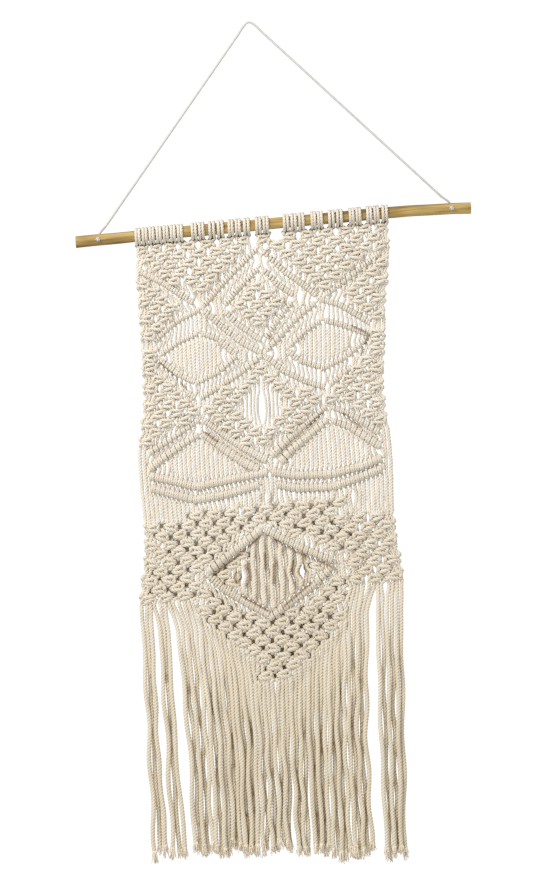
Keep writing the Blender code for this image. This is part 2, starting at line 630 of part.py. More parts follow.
# ------------------------------------------------------------------ fringe
def fringe_strands():
    """For each strand its places, as (u, v, y) rows from the root to the end."""
    strands = []
    for count, mid_left, mid_right, end_left, end_right, end_v, back, early in LOCKS:
        crowded = min(mid_right - mid_left, end_right - end_left) / (count - 1) < STRAND_WIDTH + GAP
        for index in range(count):
            slot = len(strands)
            share = index / (count - 1)
            mid = mid_left + share * (mid_right - mid_left)
            end = end_left + share * (end_right - end_left)
            depth = back + (LAYER * (-1) ** index if crowded else 0.0)
            root = slot_u(slot, LOWER_EDGE[0][1])
            low = along(LOWER_EDGE, root) + FRINGE_GAP + STRIP_HEIGHT
            bend = low + ROOT_RUN if early else max(low + ROOT_RUN, FRINGE_BEND)
            tip = end_v - FRINGE_UNEVEN * abs(math.sin(UNEVEN_STEP * slot))
            late = (mid + FRINGE_LATE * (end - mid), FRINGE_MIDDLE + FRINGE_LATE * (tip - FRINGE_MIDDLE))
            strands.append((
                (root, low, 0.0),
                (root + early * (mid - root), bend, early * depth),
                (mid, FRINGE_MIDDLE, depth),
                (*late, depth),
                (end, tip, depth),
            ))
    return strands


def move_face(face, middle, half_width, half_depth):
    """Moves a strand's end face, squared up, to a new middle."""
    centre = face.calc_center_median()
    for vert in face.verts:
        across = math.copysign(half_width, vert.co.x - centre.x)
        behind = math.copysign(half_depth, vert.co.y - centre.y)
        vert.co = middle + Vector((across, behind, 0.0)) * MM


def build_fringe(parts):
    """A narrow strip under the knotting's lower edge, with a strand drawn down from each root face."""
    strands = fringe_strands()
    half_width, half_depth = STRAND_WIDTH / 2, STRAND_DEPTH / 2
    edges = [u for strand in strands for u in (strand[0][0] - half_width, strand[0][0] + half_width)]
    bm = bmesh.new()
    rings = []
    for u in edges:
        top = along(LOWER_EDGE, u) + FRINGE_GAP
        low = top + STRIP_HEIGHT
        corners = ((top, -half_depth), (top, half_depth), (low, half_depth), (low, -half_depth))
        rings.append([bm.verts.new(place(u, v, y)) for v, y in corners])
    roots = []
    for index, (ring, after) in enumerate(zip(rings, rings[1:])):
        for side in range(4):
            face = bm.faces.new((ring[side], ring[(side + 1) % 4], after[(side + 1) % 4], after[side]))
            if side == 2 and index % 2 == 0:
                roots.append(face)
    bm.faces.new(rings[0][::-1])
    bm.faces.new(rings[-1])
    bmesh.ops.recalc_face_normals(bm, faces=bm.faces)
    for face, strand in zip(roots, strands):
        for section in strand[1:]:
            face = bmesh.ops.extrude_discrete_faces(bm, faces=[face])["faces"][0]
            move_face(face, place(*section), half_width, half_depth)
    bmesh.ops.recalc_face_normals(bm, faces=bm.faces)
    object_from(bm, "fringe", parts, material("fringe"))


def build():
    """The whole hanging."""
    for old in list(bpy.data.objects):
        bpy.data.objects.remove(old)
    parts = collection("macrame_wall_hanging")
    cutters = collection("cutters")
    build_rod(parts, cutters)
    build_hanging_cord(parts)
    build_panel(parts, cutters)
    build_fringe(parts)


build()
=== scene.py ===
"""Looks of the macrame wall hanging: 28 folded cotton ropes, knotted strand by strand, on a wooden rod.

Sizes are in millimetres. A place on the panel is written (u, v, front): u runs along the rod from the
middle of the panel, v is the plumb drop below the rod's axis, and front is how far the place stands
towards the viewer. to_world() turns such rows into metres in the frame of the solids.
"""
import math
import random

import bpy
import numpy as np
from mathutils import Matrix, Vector

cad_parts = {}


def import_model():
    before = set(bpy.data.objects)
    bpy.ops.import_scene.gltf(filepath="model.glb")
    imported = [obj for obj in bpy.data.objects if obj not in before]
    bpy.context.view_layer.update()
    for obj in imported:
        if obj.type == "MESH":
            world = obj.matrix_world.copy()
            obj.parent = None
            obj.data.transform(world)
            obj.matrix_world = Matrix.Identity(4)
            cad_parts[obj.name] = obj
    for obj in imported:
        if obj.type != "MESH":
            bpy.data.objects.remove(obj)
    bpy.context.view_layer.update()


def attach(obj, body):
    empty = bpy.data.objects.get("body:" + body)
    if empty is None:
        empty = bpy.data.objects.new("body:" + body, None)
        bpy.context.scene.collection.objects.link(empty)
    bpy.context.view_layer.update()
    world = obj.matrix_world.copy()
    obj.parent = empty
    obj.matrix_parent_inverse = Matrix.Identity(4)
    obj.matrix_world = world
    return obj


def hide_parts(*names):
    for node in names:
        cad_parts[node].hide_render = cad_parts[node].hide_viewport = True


MM = 0.001

# ---- sizes, most of them as in the solids
ROD_MIDDLE = (2.6, -207.0)  # x and z of the rod's axis under the panel's middle
ROD_TILT = math.radians(2.75)
ROD_RADIUS = 6.0
ROD_ENDS = (-188.0, 213.0)
ROD_BEND_START = 125.0
ROD_BEND_DROP = 3.2
ROD_BEND_POWER = 1.6
CORD_DIAMETER = 2.5
CORD_HOLES = (-165.5, 194.0)
HOLE_DIAMETER = 3.2
CORD_BEND = 5.0
CORD_BEND_STEPS = 4
CORD_STEP = 13.0
KNOT_DEPTH = 2.2  # half the stopper knot's size, front to back
GAP = 0.3

STRANDS = 56
STRAND_INSET = 2.3
MIDDLE_SLOT = 27.5  # this hangs at MIDDLE_U all the way, and each half beside it is even
MIDDLE_U = -7.5
WRAPS_HOLD = (35.0, 85.0)  # the strands hang below their wraps down to one drop, evenly from the next
NOTCH_SLOTS = (27.5, 31.5, 35.5)  # the strands under the rod's bare stretch: left end, middle, right end
NOTCH_REACH = 4.0
NOTCH_CLOSES = (11.0, 22.0)  # they close up between these drops
EVENED = (1, 2, 3, 4, 3, 2, 1)  # each strand takes this share of its neighbours' places
FIRST_ROW = 14.0  # the drop of the first row of square knots
ROW_PITCH = 8.85
INNER_SHIFT = 3.8  # the rows in the upper diamond hang lower by this
INNER_FIELD = 2
KNOT_OFF_BAR = 6.2  # a knot comes no nearer to a bar than this
EDGE_OFF_BAR = 5.5  # but one at the panel's edge may come this near
ROOT_DROP = 9.0  # under its last knot a strand hangs straight for this much
FRINGE_CLOSES = 22.0  # and draws into its lock over this much
FRINGE_MIDDLE = 520.0
FRINGE_START = 4.0  # its first place in the fringe is this far under its last knot
FRINGE_STEP = 13.0
FRINGE_LAYER = 2.3  # every second strand of a lock stands behind the others by twice this
FRINGE_UNEVEN = 5.0  # the ends of a lock differ by up to this
UNEVEN_STEP = 2.4
FRINGE_FREE = (10.0, 90.0)  # it hangs free after the first of these, over the second
FRINGE_SWAY = (0.4, 1.4)
FRINGE_WAVE = (52, 90)
DEPTH_SWAY, DEPTH_WAVE = 1.1, 70.0
# the panel's ripple is a broad one and a slanted one
RIPPLE_HEIGHTS = (0.7, 0.5)
RIPPLES_ACROSS = (31.0, 17.0)
RIPPLES_DOWN = (47.0, 29.0)
RIPPLE_START = 0.6
RIPPLE_FULL = 60.0

# the panel's two sides: drop, left edge, right edge
SIDES = (
    (0, -130.5, 128), (30, -132.5, 127), (50, -130.5, 126), (100, -128, 123), (150, -128, 119.5),
    (180, -129.5, 117), (200, -133.5, 119), (225, -136.5, 122), (250, -135.5, 123), (300, -133, 122),
    (335, -136, 124.5), (360, -140.5, 128.5), (372, -142, 129),
)
# the lower edge of the knotting, left to right
LOWER_EDGE = (
    (-150, 373), (-88, 373), (-82, 380), (-55, 415), (-30, 440), (-7.5, 462), (20, 445), (45, 425),
    (66, 402), (74, 374), (150, 374),
)
# lark's heads on the rod, in bunches: how many wraps (two for each lark's head), left end, right end
BUNCHES = (
    (14, -129, -79), (4, -72, -57), (4, -54.5, -37), (4, -34.5, -20), (2, -19, -10.5), (4, -6.5, 8.5),
    (6, 21.5, 45), (4, 50, 63.5), (4, 67.5, 84), (4, 89, 102.5), (4, 106.5, 121), (2, 122, 130),
)
# clove-hitch lines: each row is one bar, through these places
BARS = {
    "diamond_outer_left": ((-3, 22), (-27, 42), (-46, 60), (-64, 79)),
    "diamond_outer_right": ((-3, 22), (9, 36), (22, 50), (40, 65), (56, 81)),
    "diamond_inner_left": ((-3, 42), (-27, 63), (-43, 81)),
    "diamond_inner_right": ((-3, 42), (14, 62), (33, 77)),
    "diamond_low_left": ((-43, 81), (-30, 97), (-3, 119)),
    "diamond_low_right": ((33, 77), (22, 87), (8, 104), (-3, 119)),
    "left_shoulder": ((-125, 36), (-103, 49), (-69, 76)),
    "right_shoulder": ((120, 39), (90, 60), (61, 78)),
    "crossing_left": ((-64, 79), (-46, 98), (-26, 117), (-4, 131)),
    "crossing_right": ((56, 81), (33, 97), (20, 109), (-4, 131)),
    "left_eye_brow": ((-64, 79), (-85, 87), (-100, 96), (-117, 112)),
    "right_eye_brow": ((56, 81), (75, 88), (90, 98), (110, 113)),
    "left_eye_top": ((-112, 124), (-90, 111), (-68, 103), (-50, 111), (-31, 130)),
    "right_eye_top": ((20, 128), (38, 113), (57, 102), (75, 108), (106, 122)),
    "left_eye_low": ((-112, 124), (-92, 143), (-73, 154), (-50, 145), (-31, 130)),
    "right_eye_low": ((20, 128), (32, 141), (57, 151), (80, 142), (106, 122)),
    "middle_top_left": ((-4, 131), (-28, 148), (-50, 160), (-72, 171)),
    "middle_top_right": ((-4, 131), (16, 150), (38, 163), (58, 171)),
    "left_cheek": ((-72, 171), (-84, 162)),
    "right_cheek": ((58, 171), (72, 162), (88, 150)),
    "low_left_brow": ((-70, 190), (-92, 203), (-112, 214), (-127, 222)),
    "low_left_lid": ((-70, 205), (-92, 216), (-112, 228), (-127, 238)),
    "low_left_nose": ((-70, 190), (-50, 207), (-28, 224), (-5, 239)),
    "low_left_under": ((-70, 205), (-50, 222), (-30, 238), (-14, 248)),
    "low_right_nose": ((59, 189), (40, 203), (18, 219), (-5, 239)),
    "low_right_under": ((59, 203), (40, 217), (20, 231), (5, 246)),
    "low_right_brow": ((59, 189), (80, 199), (98, 212), (115, 225)),
    "low_right_lid": ((59, 203), (80, 213), (98, 226), (114, 238)),
    "left_sill": ((-127, 243), (-100, 251), (-78, 259), (-45, 255), (-12, 251.5), (-4.5, 250.5)),
    "left_sill_low": ((-126, 255), (-102, 264), (-80, 272), (-50, 270), (-10, 262)),
    "right_sill": ((-1.5, 250.5), (5, 252), (22, 257), (60, 259), (90, 254), (115, 246)),
    "right_sill_low": ((4, 264), (24, 270), (60, 272), (85, 266), (115, 257)),
    "ridge_left": ((-12, 307), (-34, 322), (-55, 335.5), (-71, 347)),
    "ridge_right": ((-12, 307), (11, 322), (36, 336), (61, 348)),
    "ridge_low": ((-71, 347), (-56, 364), (-31, 382), (-7, 397), (17, 382), (38, 369), (61, 348)),
}
# how far a bar stands in front of the panel, where it does
BAR_LIFTS = {
    "ridge_left": 3.4, "ridge_right": 3.4, "ridge_low": 2.1,
    "left_eye_low": 1.2, "right_eye_top": 1.2, "left_sill": 1.0, "right_sill": 1.0,
    "left_sill_low": 1.2, "right_sill_low": 1.2,
}
# places with square knots all over, as outlines
FIELDS = (
    ((-140, 8), (-3, 8), (-3, 15), (-32, 38), (-52, 58), (-66, 72), (-88, 81), (-118, 104), (-119, 128),
     (-94, 153), (-88, 166), (-75, 178), (-72, 184), (-96, 199), (-140, 224)),
    ((-3, 8), (140, 8), (140, 226), (110, 213), (85, 195), (62, 182), (64, 174), (90, 156), (113, 124),
     (110, 106), (90, 91), (60, 75), (42, 59), (22, 41), (-3, 15)),
    ((-3, 50), (-38, 82), (-3, 113), (28, 77)),
    ((-4, 138), (-30, 155), (-66, 176), (-66, 186), (-28, 217), (-5, 232), (20, 212), (54, 185), (52, 176),
     (20, 160)),
    ((-82, 282), (70, 282), (70, 342), (-12, 300), (-76, 342), (-86, 330)),
    ((-86, 330), (-74, 349), (-57, 368), (-6, 402), (39, 372), (64, 349), (70, 342), (70, 396), (58, 406),
     (20, 441), (10, 462), (-16, 462), (-30, 438), (-84, 378)),
    ((-140, 292), (-85, 292), (-85, 372), (-140, 372)),
    ((71, 298), (130, 298), (130, 374), (71, 374)),
    ((-12, 318), (55, 349), (-6, 390), (-65, 348)),
)
# stretches in the panel's middle where the cords run plain, and no knot is tied
PLAIN_WINDOWS = (
    ((-10, 160), (20, 185), (-8, 210), (-34, 185)),
    ((-47, 352), (-38, 336), (-12, 312), (22, 328), (37, 347), (35, 360), (16, 380), (-6, 398), (-38, 374)),
)
WINDOW_GROWTH = (0.64, 1.28)  # how thick the cords are in each
GATHERED = 1  # in this one of them the cords are gathered, and fill it
SET_BACK_SHARE = 0.8  # there a cord set back moves less far from a parting
GATHERED_FRONT = 2.2
GATHERED_SWAY = 0.7
GATHERED_WAVE = 7.0
GATHERED_SHIFT = 2.1  # radians from one strand's sway to the next
# where two plain cords are parted: across, down, and the parting's width and height
PARTINGS = (
    (38.5, 74.5, 6, 11), (-9.5, 185, 5, 30), (-40, 354.5, 8, 8), (25.5, 354, 8, 8), (-86.5, 267, 3.4, 7),
    (-8, 276, 3, 7), (3, 280, 3.4, 8), (-25, 279, 3, 6), (-80, 302, 3.4, 10), (69, 303, 4.4, 14),
    (79, 283, 3.4, 9),
)
PARTING_EASE = 3.0  # a parting moves the cords as far away as this many times its reach
PARTING_PAST = 4.0  # and begins this far above its height
# painted shadow: dark lines where deep folds beside bars, under the ridges and round holes lie in shade
SHADOW_LINES = (
    ((-113, 127), (-98, 142), (-83, 159)), ((88, 111), (104, 121), (96, 141)), ((-68, 203), (-54, 216)),
    ((74, 199), (92, 214)), ((-16, 316), (-40, 333.5), (-65, 350)), ((-2, 319), (22, 335), (57, 353)),
    ((-36, 374), (-11, 391)), ((34, 367), (5, 388)), ((53, 197), (38, 209)),
    ((-41, 348.5), (-44, 354), (-41, 359.5)), ((-39, 348.5), (-36, 354), (-39, 359.5)),
    ((26.5, 348.5), (29.5, 354), (26.5, 359.5)), ((24.5, 348.5), (21.5, 354), (24.5, 359.5)),
    ((-32, 343), (-29, 353), (-32, 363)), ((17, 343), (14, 354), (17, 366)), ((-12, 333), (-10.5, 350)),
    ((-3, 345), (-4, 364)),
)
SHADOW_LINE_WIDTH = 1.7
# locks of the fringe: strands, left and right at the middle, left and right at the end, end drop,
# how far the lock is set back, and the share of its way to the middle that it makes at once
LOCKS = (
    (3, -137.5, -129.5, -137, -125.5, 625, 0, 0.6), (3, -119, -111.5, -118.5, -106, 627, 0, 0.6),
    (5, -96.5, -79, -96, -78.5, 625, 0, 0.5), (4, -74.5, -62, -73.5, -61, 630, 0, 0.5),
    (3, -57.5, -49.5, -56.5, -50, 625, 2.4, 0.5), (5, -45, -30, -45.5, -32, 631, 0, 0.5),
    (4, -25.5, -14.5, -26.5, -13.5, 632, 0, 0.5), (4, -10, 3, -9, 0.5, 629, 0, 0.5),
    (4, 7.5, 20, 8.5, 18.5, 638, 0, 0.5), (5, 24.5, 41, 26, 40, 637, 0, 0.5),
    (5, 45.5, 61, 45, 61, 644, 0, 0.5), (5, 65.5, 82.5, 67, 83.5, 643, 0, 0.5),
    (6, 98, 120.5, 98.5, 116.5, 647, 0, 0.4),
)

# ---- rope and knots
FULL_TURN = 6.3  # about one turn in radians, for waves and their starts
ROUND = (0.0, 0.0, 0.0)  # a place where a rope isn't flattened
PLIES = 3
GROOVE_DEPTH = 0.25  # as a share of the rope's radius
SHOULDER_TURN = math.radians(24.0)
OFF_AXIS = (0.3, 1.0, 0.1)  # no rope starts in this direction
ROPE_LAY = 9.5  # length of one turn of the twist
ROPE_STEP = 1.6
SPLINE_SAMPLES = 5
LEAST_FLAT = 1e-6  # a rope flattened less than this isn't flattened
LEAST_APART = 0.6  # places nearer than this to the one before are left out
# the rope's radius by drop: it is drawn thin in the open net and swells in the fringe
ROPE_RADII = ((0.0, 1.72), (10.0, 1.78), (30.0, 1.92), (205.0, 1.92), (300.0, 2.12), (400.0, 2.2),
              (440.0, 2.38), (480.0, 2.5))
PLAIN_STEP = 6.0  # between the places of a cord that runs plain
PLAIN_EASE = 3.5
PLAIN_SWAY = 0.25
CROWDED_FRONT = 1.6  # where cords are crowded, every second one stands forward by this
SLANT_RUN = 15.0  # a cord that runs plain for no more than this crosses straight over
HOLDER_RADIUS = 1.3
HOLDER_START = 0.5  # a holder is drawn to its line's start, until it hangs this share off it
HITCH_TURN = 45  # degrees between two places of a wrap
HITCH_END = 900  # its last place comes before two and a half turns round the holder
HITCH_MOVES = (250, 400)  # after the first of these it moves along the holder, over the second
HITCH_REACH = 1.6
HITCH_BACK = -1.0  # the strand comes from behind the holder and leaves behind it
HITCH_WIDEST = 8.0
HITCH_THICK = (1.2, 1.6)  # least and most radius of a wrap
HITCH_SHARE = 0.28  # that radius as a share of the width the wraps have
HITCH_FLAT = 0.3  # how much a wrap is flattened onto its holder
BAR_GROWTH = ((200.0, 1.0), (240.0, 1.55), (280.0, 1.55), (305.0, 1.35), (400.0, 1.25))
WRAPS_GROW, CORE_GROWS = 0.4, 1.4  # the powers of it that its wraps and its core grow by
TOP_SET_BACK = 3.0  # the panel hangs from the back of the rod
TOP_EASE = 9.0  # and comes forward over about this drop
# a lark's head: its bight as drop and front, the way to its wrap with how far that lies outwards, the
# wrap's places in degrees, up from the lowest by the front, and the way on with how far that lies inwards
BIGHT = (8.2, -8.4)
WRAP_UP = ((0.5, 9.3, -6.2), (0.4, 9.4, -2.8))
WRAP_ANGLES = range(10, 300, 30)
WRAP_DOWN, WRAP_LEAVES = (0.6, 6.4, -5.7), (0.3, 9.2, -4.2)
WRAP_LEAVES_AT = 9.0
WRAP_CENTRE = ROD_RADIUS + 1.35  # the middle line of a wrap, which is pressed flat onto the rod
WRAP_FLAT = 0.24
PAIR_PINCH = 0.25  # how far the two wraps of a head move together

# a square knot's four cords: across, down and front, for a knot 8.85 high
KNOT_LEFT = (
    (-7.55, -4.4, 0), (-6.3, -3.7, 0.2), (-4.7, -3.3, 1.3), (-2.5, -2.8, 3), (0.2, -2.2, 3.7),
    (2.8, -1.5, 3), (4.7, -0.8, 1), (5.2, 0, -0.8), (4.7, 0.8, 1), (2.8, 1.5, 3), (0.2, 2.2, 3.7),
    (-2.5, 2.8, 3), (-4.7, 3.3, 1.3), (-6.1, 3.8, 0.2), (-7, 4.4, 0),
)
KNOT_RIGHT = (
    (7.65, -4.4, 0), (6.9, -3.5, 1.7), (6, -2.2, 2.5), (4.9, -1.4, -0.4), (2.8, -1.7, -2.8),
    (0, -1.9, -3.3), (-2.8, -2.2, -2.7), (-4.9, -2.3, -0.3), (-5.4, -1.4, 2.3), (-5.1, 0, 3.4),
    (-5.4, 1.4, 2.3), (-4.9, 2.3, -0.3), (-2.8, 2.2, -2.7), (0, 1.9, -3.3), (2.8, 1.7, -2.8),
    (4.9, 1.4, -0.4), (6, 2.2, 2.5), (6.7, 3.5, 1.5), (6.9, 4.4, 0),
)
# in the close net below, the second cord's way behind the knot reaches past the hole beside it
PAST_HOLE = ((9.4, -3.4, -1.8), (10.1, -2.1, -3.3), (6.0, -1.7, -3.5), (2.8, -1.7, -3.2))
BACK_PAST_HOLE = tuple((across, -down, front) for across, down, front in reversed(PAST_HOLE))
KNOT_RIGHT_FULL = (KNOT_RIGHT[0], *PAST_HOLE, *KNOT_RIGHT[5:-5], *BACK_PAST_HOLE, KNOT_RIGHT[-1])
KNOT_FILLER = ((2.55, -4.4, 0.0), (1.65, -1.5, 1.3), (1.65, 1.5, 1.3), (1.8, 4.4, 0.0))
KNOT_EDGE = 4.0  # higher and lower than this, its cords are in their slots
FILLER_SQUEEZE = 0.86  # the inner cords are drawn thin inside the knot
# the two cords beside a row's first and last knot: the knot's slot, theirs, and which way they are drawn
BESIDE_KNOT = ((2, (0, 1), 1), (STRANDS - 6, (STRANDS - 1, STRANDS - 2), -1))
EDGE_PULL = (2.4, 1.4)  # how far each of the two is drawn
KNOT_DRAWN_AT = 54.0  # at this drop the rope is as thick as the knot above is made for
KNOT_PITCH = 4.72  # between neighbouring strands, for the knot above
KNOT_WIDTH = 1.18
KNOT_TILT = (0.12, 0.26)  # how far knots are turned by chance, in the net above and below
KNOT_SQUEEZE = (0.8, 1.35)
KNOT_HAND = (12.9, 0.7)  # radians by drop and by slot: where their sine is above 0 it is turned round
FIRST_SQUEEZE = 0.9  # the first row of knots is tied tighter
FULL_FROM = (250.0, 300.0)  # the net above and below these drops is open and close
LOOSE_FROM, LOOSE_FULL = 70.0, 0.4  # right of this the lower net is looser
FULL_LOWER, FULL_RAISE = 0.35, 1.1  # the close net is flatter: lower knots, and higher cords between them
PLACE_STRAY = 1 / 6  # spread of a place's small random offset
BEGUN_BEFORE = 0.01  # a line is begun this far above its first place

KNOT_SEED, ROPE_SEED, HAIR_SEED = 7, 11, 5
ROPES_A_PIECE = 4
HAIRS = 36
HAIR_SIDES = 4
HAIR_STEPS = 5
HAIR_RADIUS = 0.5
HAIR_TAPER = (1.6, 1.1)  # times its radius: at its root, and how much less at its tip
HAIR_LENGTH = (4.5, 13.0)
END_REACH = (0.7, 1.2)  # times its length, the same for all hairs of an end
HAIR_STRAY = 0.6  # radians round the end, off the ply's middle
HAIR_PLACE = (0.2, 1.0)  # where it starts, as a share of the way out
HAIR_OUT = 2.1
HAIR_SPREAD = (0.3, 2.6)
HAIR_CURL = 1.0
HAIR_ROOT = 2.5  # how deep it starts inside the rope

# how deep a place of the ropes lies under what is round it, on a grid of 1 mm cells; by this the cotton is
# painted with shade
CELLS = (310, 700)
CELL_START = (-155.0, -15.0)  # u and v of the first cell
CELL_BLUR = 1.6
CELL_LEAST = 0.02  # a cell counts as filled at least by this much
EMPTY = -1000.0
CREVICE_DEPTH = 3.2
# the painted shade is stronger on the rod and in the fringe
CREVICE_BY_DROP = ((8.0, 1.6), (14.0, 1.0), (260.0, 1.0), (300.0, 1.15), (380.0, 1.2), (450.0, 1.9))

# ---- rod and hanging cord
ROD_SIDES = 40
ROD_CUTS = 79
ROD_INSETS = (0.12, 0.3)  # rings on its sawn ends, as shares of its radius
ROD_RIM = 0.6  # the sawn ends' edges stand out by this
RIM_FROM = (0.499, 0.95)  # on a cylinder 1 long: how far from its middle and from its axis they are
END_FACING = 0.9
ROD_PARED = 0.2  # the stick is this much thinner than its solid
ROD_BUMPS = ((0.16, 23.0, 2, 0.0), (0.10, 7.3, 3, 1.0))  # height, length, number round it, start
DRILL_SIDES = 24
SHARP_ANGLE = math.radians(40.0)
CORD_LAY = 5.0
CORD_MESH_STEP = 0.9
CORD_TONE = 0.5
OVER_NAIL = (0.25, 0.5, 0.75)  # places of the cord on the nail, as shares of the way over it
KNOT_TURNS = 2.6
KNOT_PLACES = 26
KNOT_WIND = (1.92, 1.3, 1.1)  # half length and half sizes of the winding's middle line
KNOT_NARROW = 0.4  # the winding's width at its ends, as a share
KNOT_CORD_RADIUS = 1.0
KNOT_MESH_STEP = 0.5

# ---- colours (linear)
# of a cord: in the light, in the shade, and the painted shade deep between the plies and between the ropes
COTTON_COLOURS = ((0.93, 0.87, 0.76), (0.85, 0.76, 0.61), (0.30, 0.185, 0.08))
THIN_COLOURS = ((0.78, 0.77, 0.74), (0.62, 0.60, 0.56), (0.25, 0.22, 0.18))
COTTON_FLUFF = (0.97, 0.86, 0.68, 1.0)
LOW_RANGE = (-0.44, -0.75)  # from one height to the other the cotton is painted darker and browner: partly a browner cotton, partly painted shade among the lower strands
LOW_TINT_AND_SHADE = (0.885, 0.855, 0.78, 1.0)
WOOD_COLOURS = ((0.17, 0.092, 0.022, 1.0), (0.42, 0.275, 0.078, 1.0), (0.62, 0.45, 0.165, 1.0))
FLOOR_COLOUR = (0.8, 0.8, 0.8, 1.0)
CORD_SURFACE = {"Roughness": 0.95, "Specular IOR Level": 0.1, "Sheen Weight": 0.15, "Sheen Roughness": 0.6}

# ---- finishes
NODE_STEP = 180.0  # between the places of two nodes
FIBRE_STRETCH = (26.0, 5.0, 1.0)
FIBRE_LEAN = (0.0, 0.0, 0.25)
FIBRE_DETAIL, PATCH_DETAIL = 4.0, 2.0
PATCH_SCALE, SPECK_SCALE = 55.0, 900.0
# the ranges over which each begins to show and shows fully
FIBRE_RANGE, WORN_RANGE, GROOVE_RANGE, CREVICE_RANGE = (0.35, 0.7), (0.3, 0.7), (0.1, 1.0), (0.25, 1.0)
WORN_SHARES = (0.6, 0.55)  # of the patches and the rope's own tone
SHADE_SHARES = (0.4, 0.45)  # of the fibres and the worn places
GROOVE_SHADE, CREVICE_SHADE = 0.25, 0.92  # how much of the painted crevice shade colour each takes at most
SPECK_HEIGHT = 0.5
FIBRE_BUMP = (0.55, 0.0004)  # strength, and distance in metres
# the wood's broad grain, its fine grain and its blotches: stretch and detail
GRAINS = (((14.0, 160.0, 160.0), 4.0), ((40.0, 900.0, 900.0), 3.0), ((22.0, 60.0, 60.0), 2.0))
GRAIN_SHARES = (0.65, 0.35)
GRAIN_STOPS = (0.34, 0.66, 0.5)  # of the dark, the light and the middle colour
BLOTCH_RANGE, BLOTCH_SHADE = (0.5, 0.75), 0.6
GRAIN_BUMP = (0.4, 0.0003)

# ---- camera, light and floor
IMAGE_ROLL = math.radians(2.65)
VIEW_CENTRE = (-1.9, -425.1)
VIEW_HEIGHT = 892.0
VIEW_DISTANCE = 2600.0
VIEW_REACH = 100.0
SENSOR = 36.0
WORLD_SEEN = 1.02  # how bright the surround looks
WORLD_GIVEN = 0.72  # and how bright it shines
KEY_POWER = 32.0
KEY_SIZE = 0.9
KEY_PLACE = Vector((-1.1, -1.5, 1.0))
KEY_AIM = Vector((0.0, 0.0, -0.42))
PIXEL_FILTER = 1.35  # in pixels, so that fine cords come out crisp
FLOOR_DROP = -1.35
FLOOR_SIZE = 4.0


# ---- places
def to_world(rows):
    """Rows of (u, v, front) as points in metres."""
    rows = np.asarray(rows, float)
    x = ROD_MIDDLE[0] + rows[..., 0] * math.cos(ROD_TILT)
    z = ROD_MIDDLE[1] + rows[..., 0] * math.sin(ROD_TILT) - rows[..., 1]
    return np.stack([x, -rows[..., 2], z], -1) * MM


def place(u, v, y=0.0):
    """The point in metres at u along the rod, v below its axis and y behind it."""
    return Vector(to_world((u, v, -y)))


def rod_drop(u):
    """How far the stick's axis lies under its straight line."""
    past = max(0.0, u - ROD_BEND_START) / (ROD_ENDS[1] - ROD_BEND_START)
    return ROD_BEND_DROP * past ** ROD_BEND_POWER


def along(rows, x, column=1):
    """The column's value at x, straight between the table's rows."""
    return float(np.interp(x, [row[0] for row in rows], [row[column] for row in rows]))


def wrap_places():
    """u of each wrap on the rod, one for each strand."""
    return [left + (index + 0.5) * (right - left) / wraps + PAIR_PINCH * (-1) ** index
            for wraps, left, right in BUNCHES for index in range(wraps)]


WRAPS = wrap_places()


def closed_places():
    """u of each strand, closed up below the rod's bare stretch, and with even steps between the bunches."""
    left, middle, right = NOTCH_SLOTS
    ends = (MIDDLE_U, np.interp(right, range(STRANDS), WRAPS))
    closed = [u if abs(slot - middle) > NOTCH_REACH else np.interp(slot, (left, right), ends)
              for slot, u in enumerate(WRAPS)]
    padded = np.pad(closed, len(EVENED) // 2, "reflect", reflect_type="odd")
    return np.convolve(padded, np.array(EVENED) / sum(EVENED), "valid")


CLOSED = closed_places()


def clamped(value, low=0.0, high=1.0):
    """The value, held between two limits."""
    return min(high, max(low, value))


def slot_u(slot, v):
    """u of a strand's middle, or of several; slots are numbered 0 to 55 from the left."""
    left = along(SIDES, v, 1) + STRAND_INSET
    right = along(SIDES, v, 2) - STRAND_INSET
    even = np.interp(slot, (0, MIDDLE_SLOT, STRANDS - 1), (left, MIDDLE_U, right))
    share = np.interp(v, NOTCH_CLOSES, (0.0, 1.0))
    under = np.interp(slot, range(STRANDS), (1 - share) * np.array(WRAPS) + share * np.array(CLOSED))
    return even + np.interp(v, WRAPS_HOLD, (1.0, 0.0)) * (under - even)


def slot_number(u, v):
    """The slot at u, with its fraction."""
    return float(np.interp(u, slot_u(np.arange(STRANDS), v), range(STRANDS)))


def inside(outline, u, v):
    """Whether a place lies inside an outline."""
    odd = False
    for (ua, va), (ub, vb) in zip(outline, outline[1:] + outline[:1]):
        if (va > v) != (vb > v) and u < ua + (v - va) / (vb - va) * (ub - ua):
            odd = not odd
    return odd


def off_run(u, v, a, b):
    """Distance from a place, or from several, to the straight run from a to b."""
    run = (b[0] - a[0], b[1] - a[1])
    share = ((u - a[0]) * run[0] + (v - a[1]) * run[1]) / (run[0] ** 2 + run[1] ** 2)
    share = np.clip(share, 0.0, 1.0)
    return np.hypot(u - a[0] - share * run[0], v - a[1] - share * run[1])


def off_bars(u, v):
    """Distance from a place to the nearest bar's middle."""
    return min(off_run(u, v, a, b) for bar in BARS.values() for a, b in zip(bar, bar[1:]))


PARTED_SLOTS = [(math.floor(slot_number(*row[:2])) + 0.5, *row[1:]) for row in PARTINGS]


def parted(u, v, share=1.0):
    """u of a plain cord that keeps clear of the partings by its share, and how crowded it is there."""
    crowded = 0.0
    for slot, drop, width, height in PARTED_SLOTS:
        high = 1.0 - ((v - drop) / (height / 2 + PARTING_PAST)) ** 2
        if high > 0.0:
            middle, beside = slot_u(np.array((slot, slot + 0.5)), v)
            least = beside - middle
            push = max(least, (width / 2 + rope_radius(v)) * math.sqrt(high))
            off, reach = abs(u - middle), PARTING_EASE * push
            if off < reach:
                eased = push + max(0.0, off - least) * (reach - push) / (reach - least)
                u += share * math.copysign(eased - off, u - middle)
                crowded = max(crowded, high)
    return u, crowded


def rope_radius(v):
    """The rope's radius at a drop."""
    return along(ROPE_RADII, v)


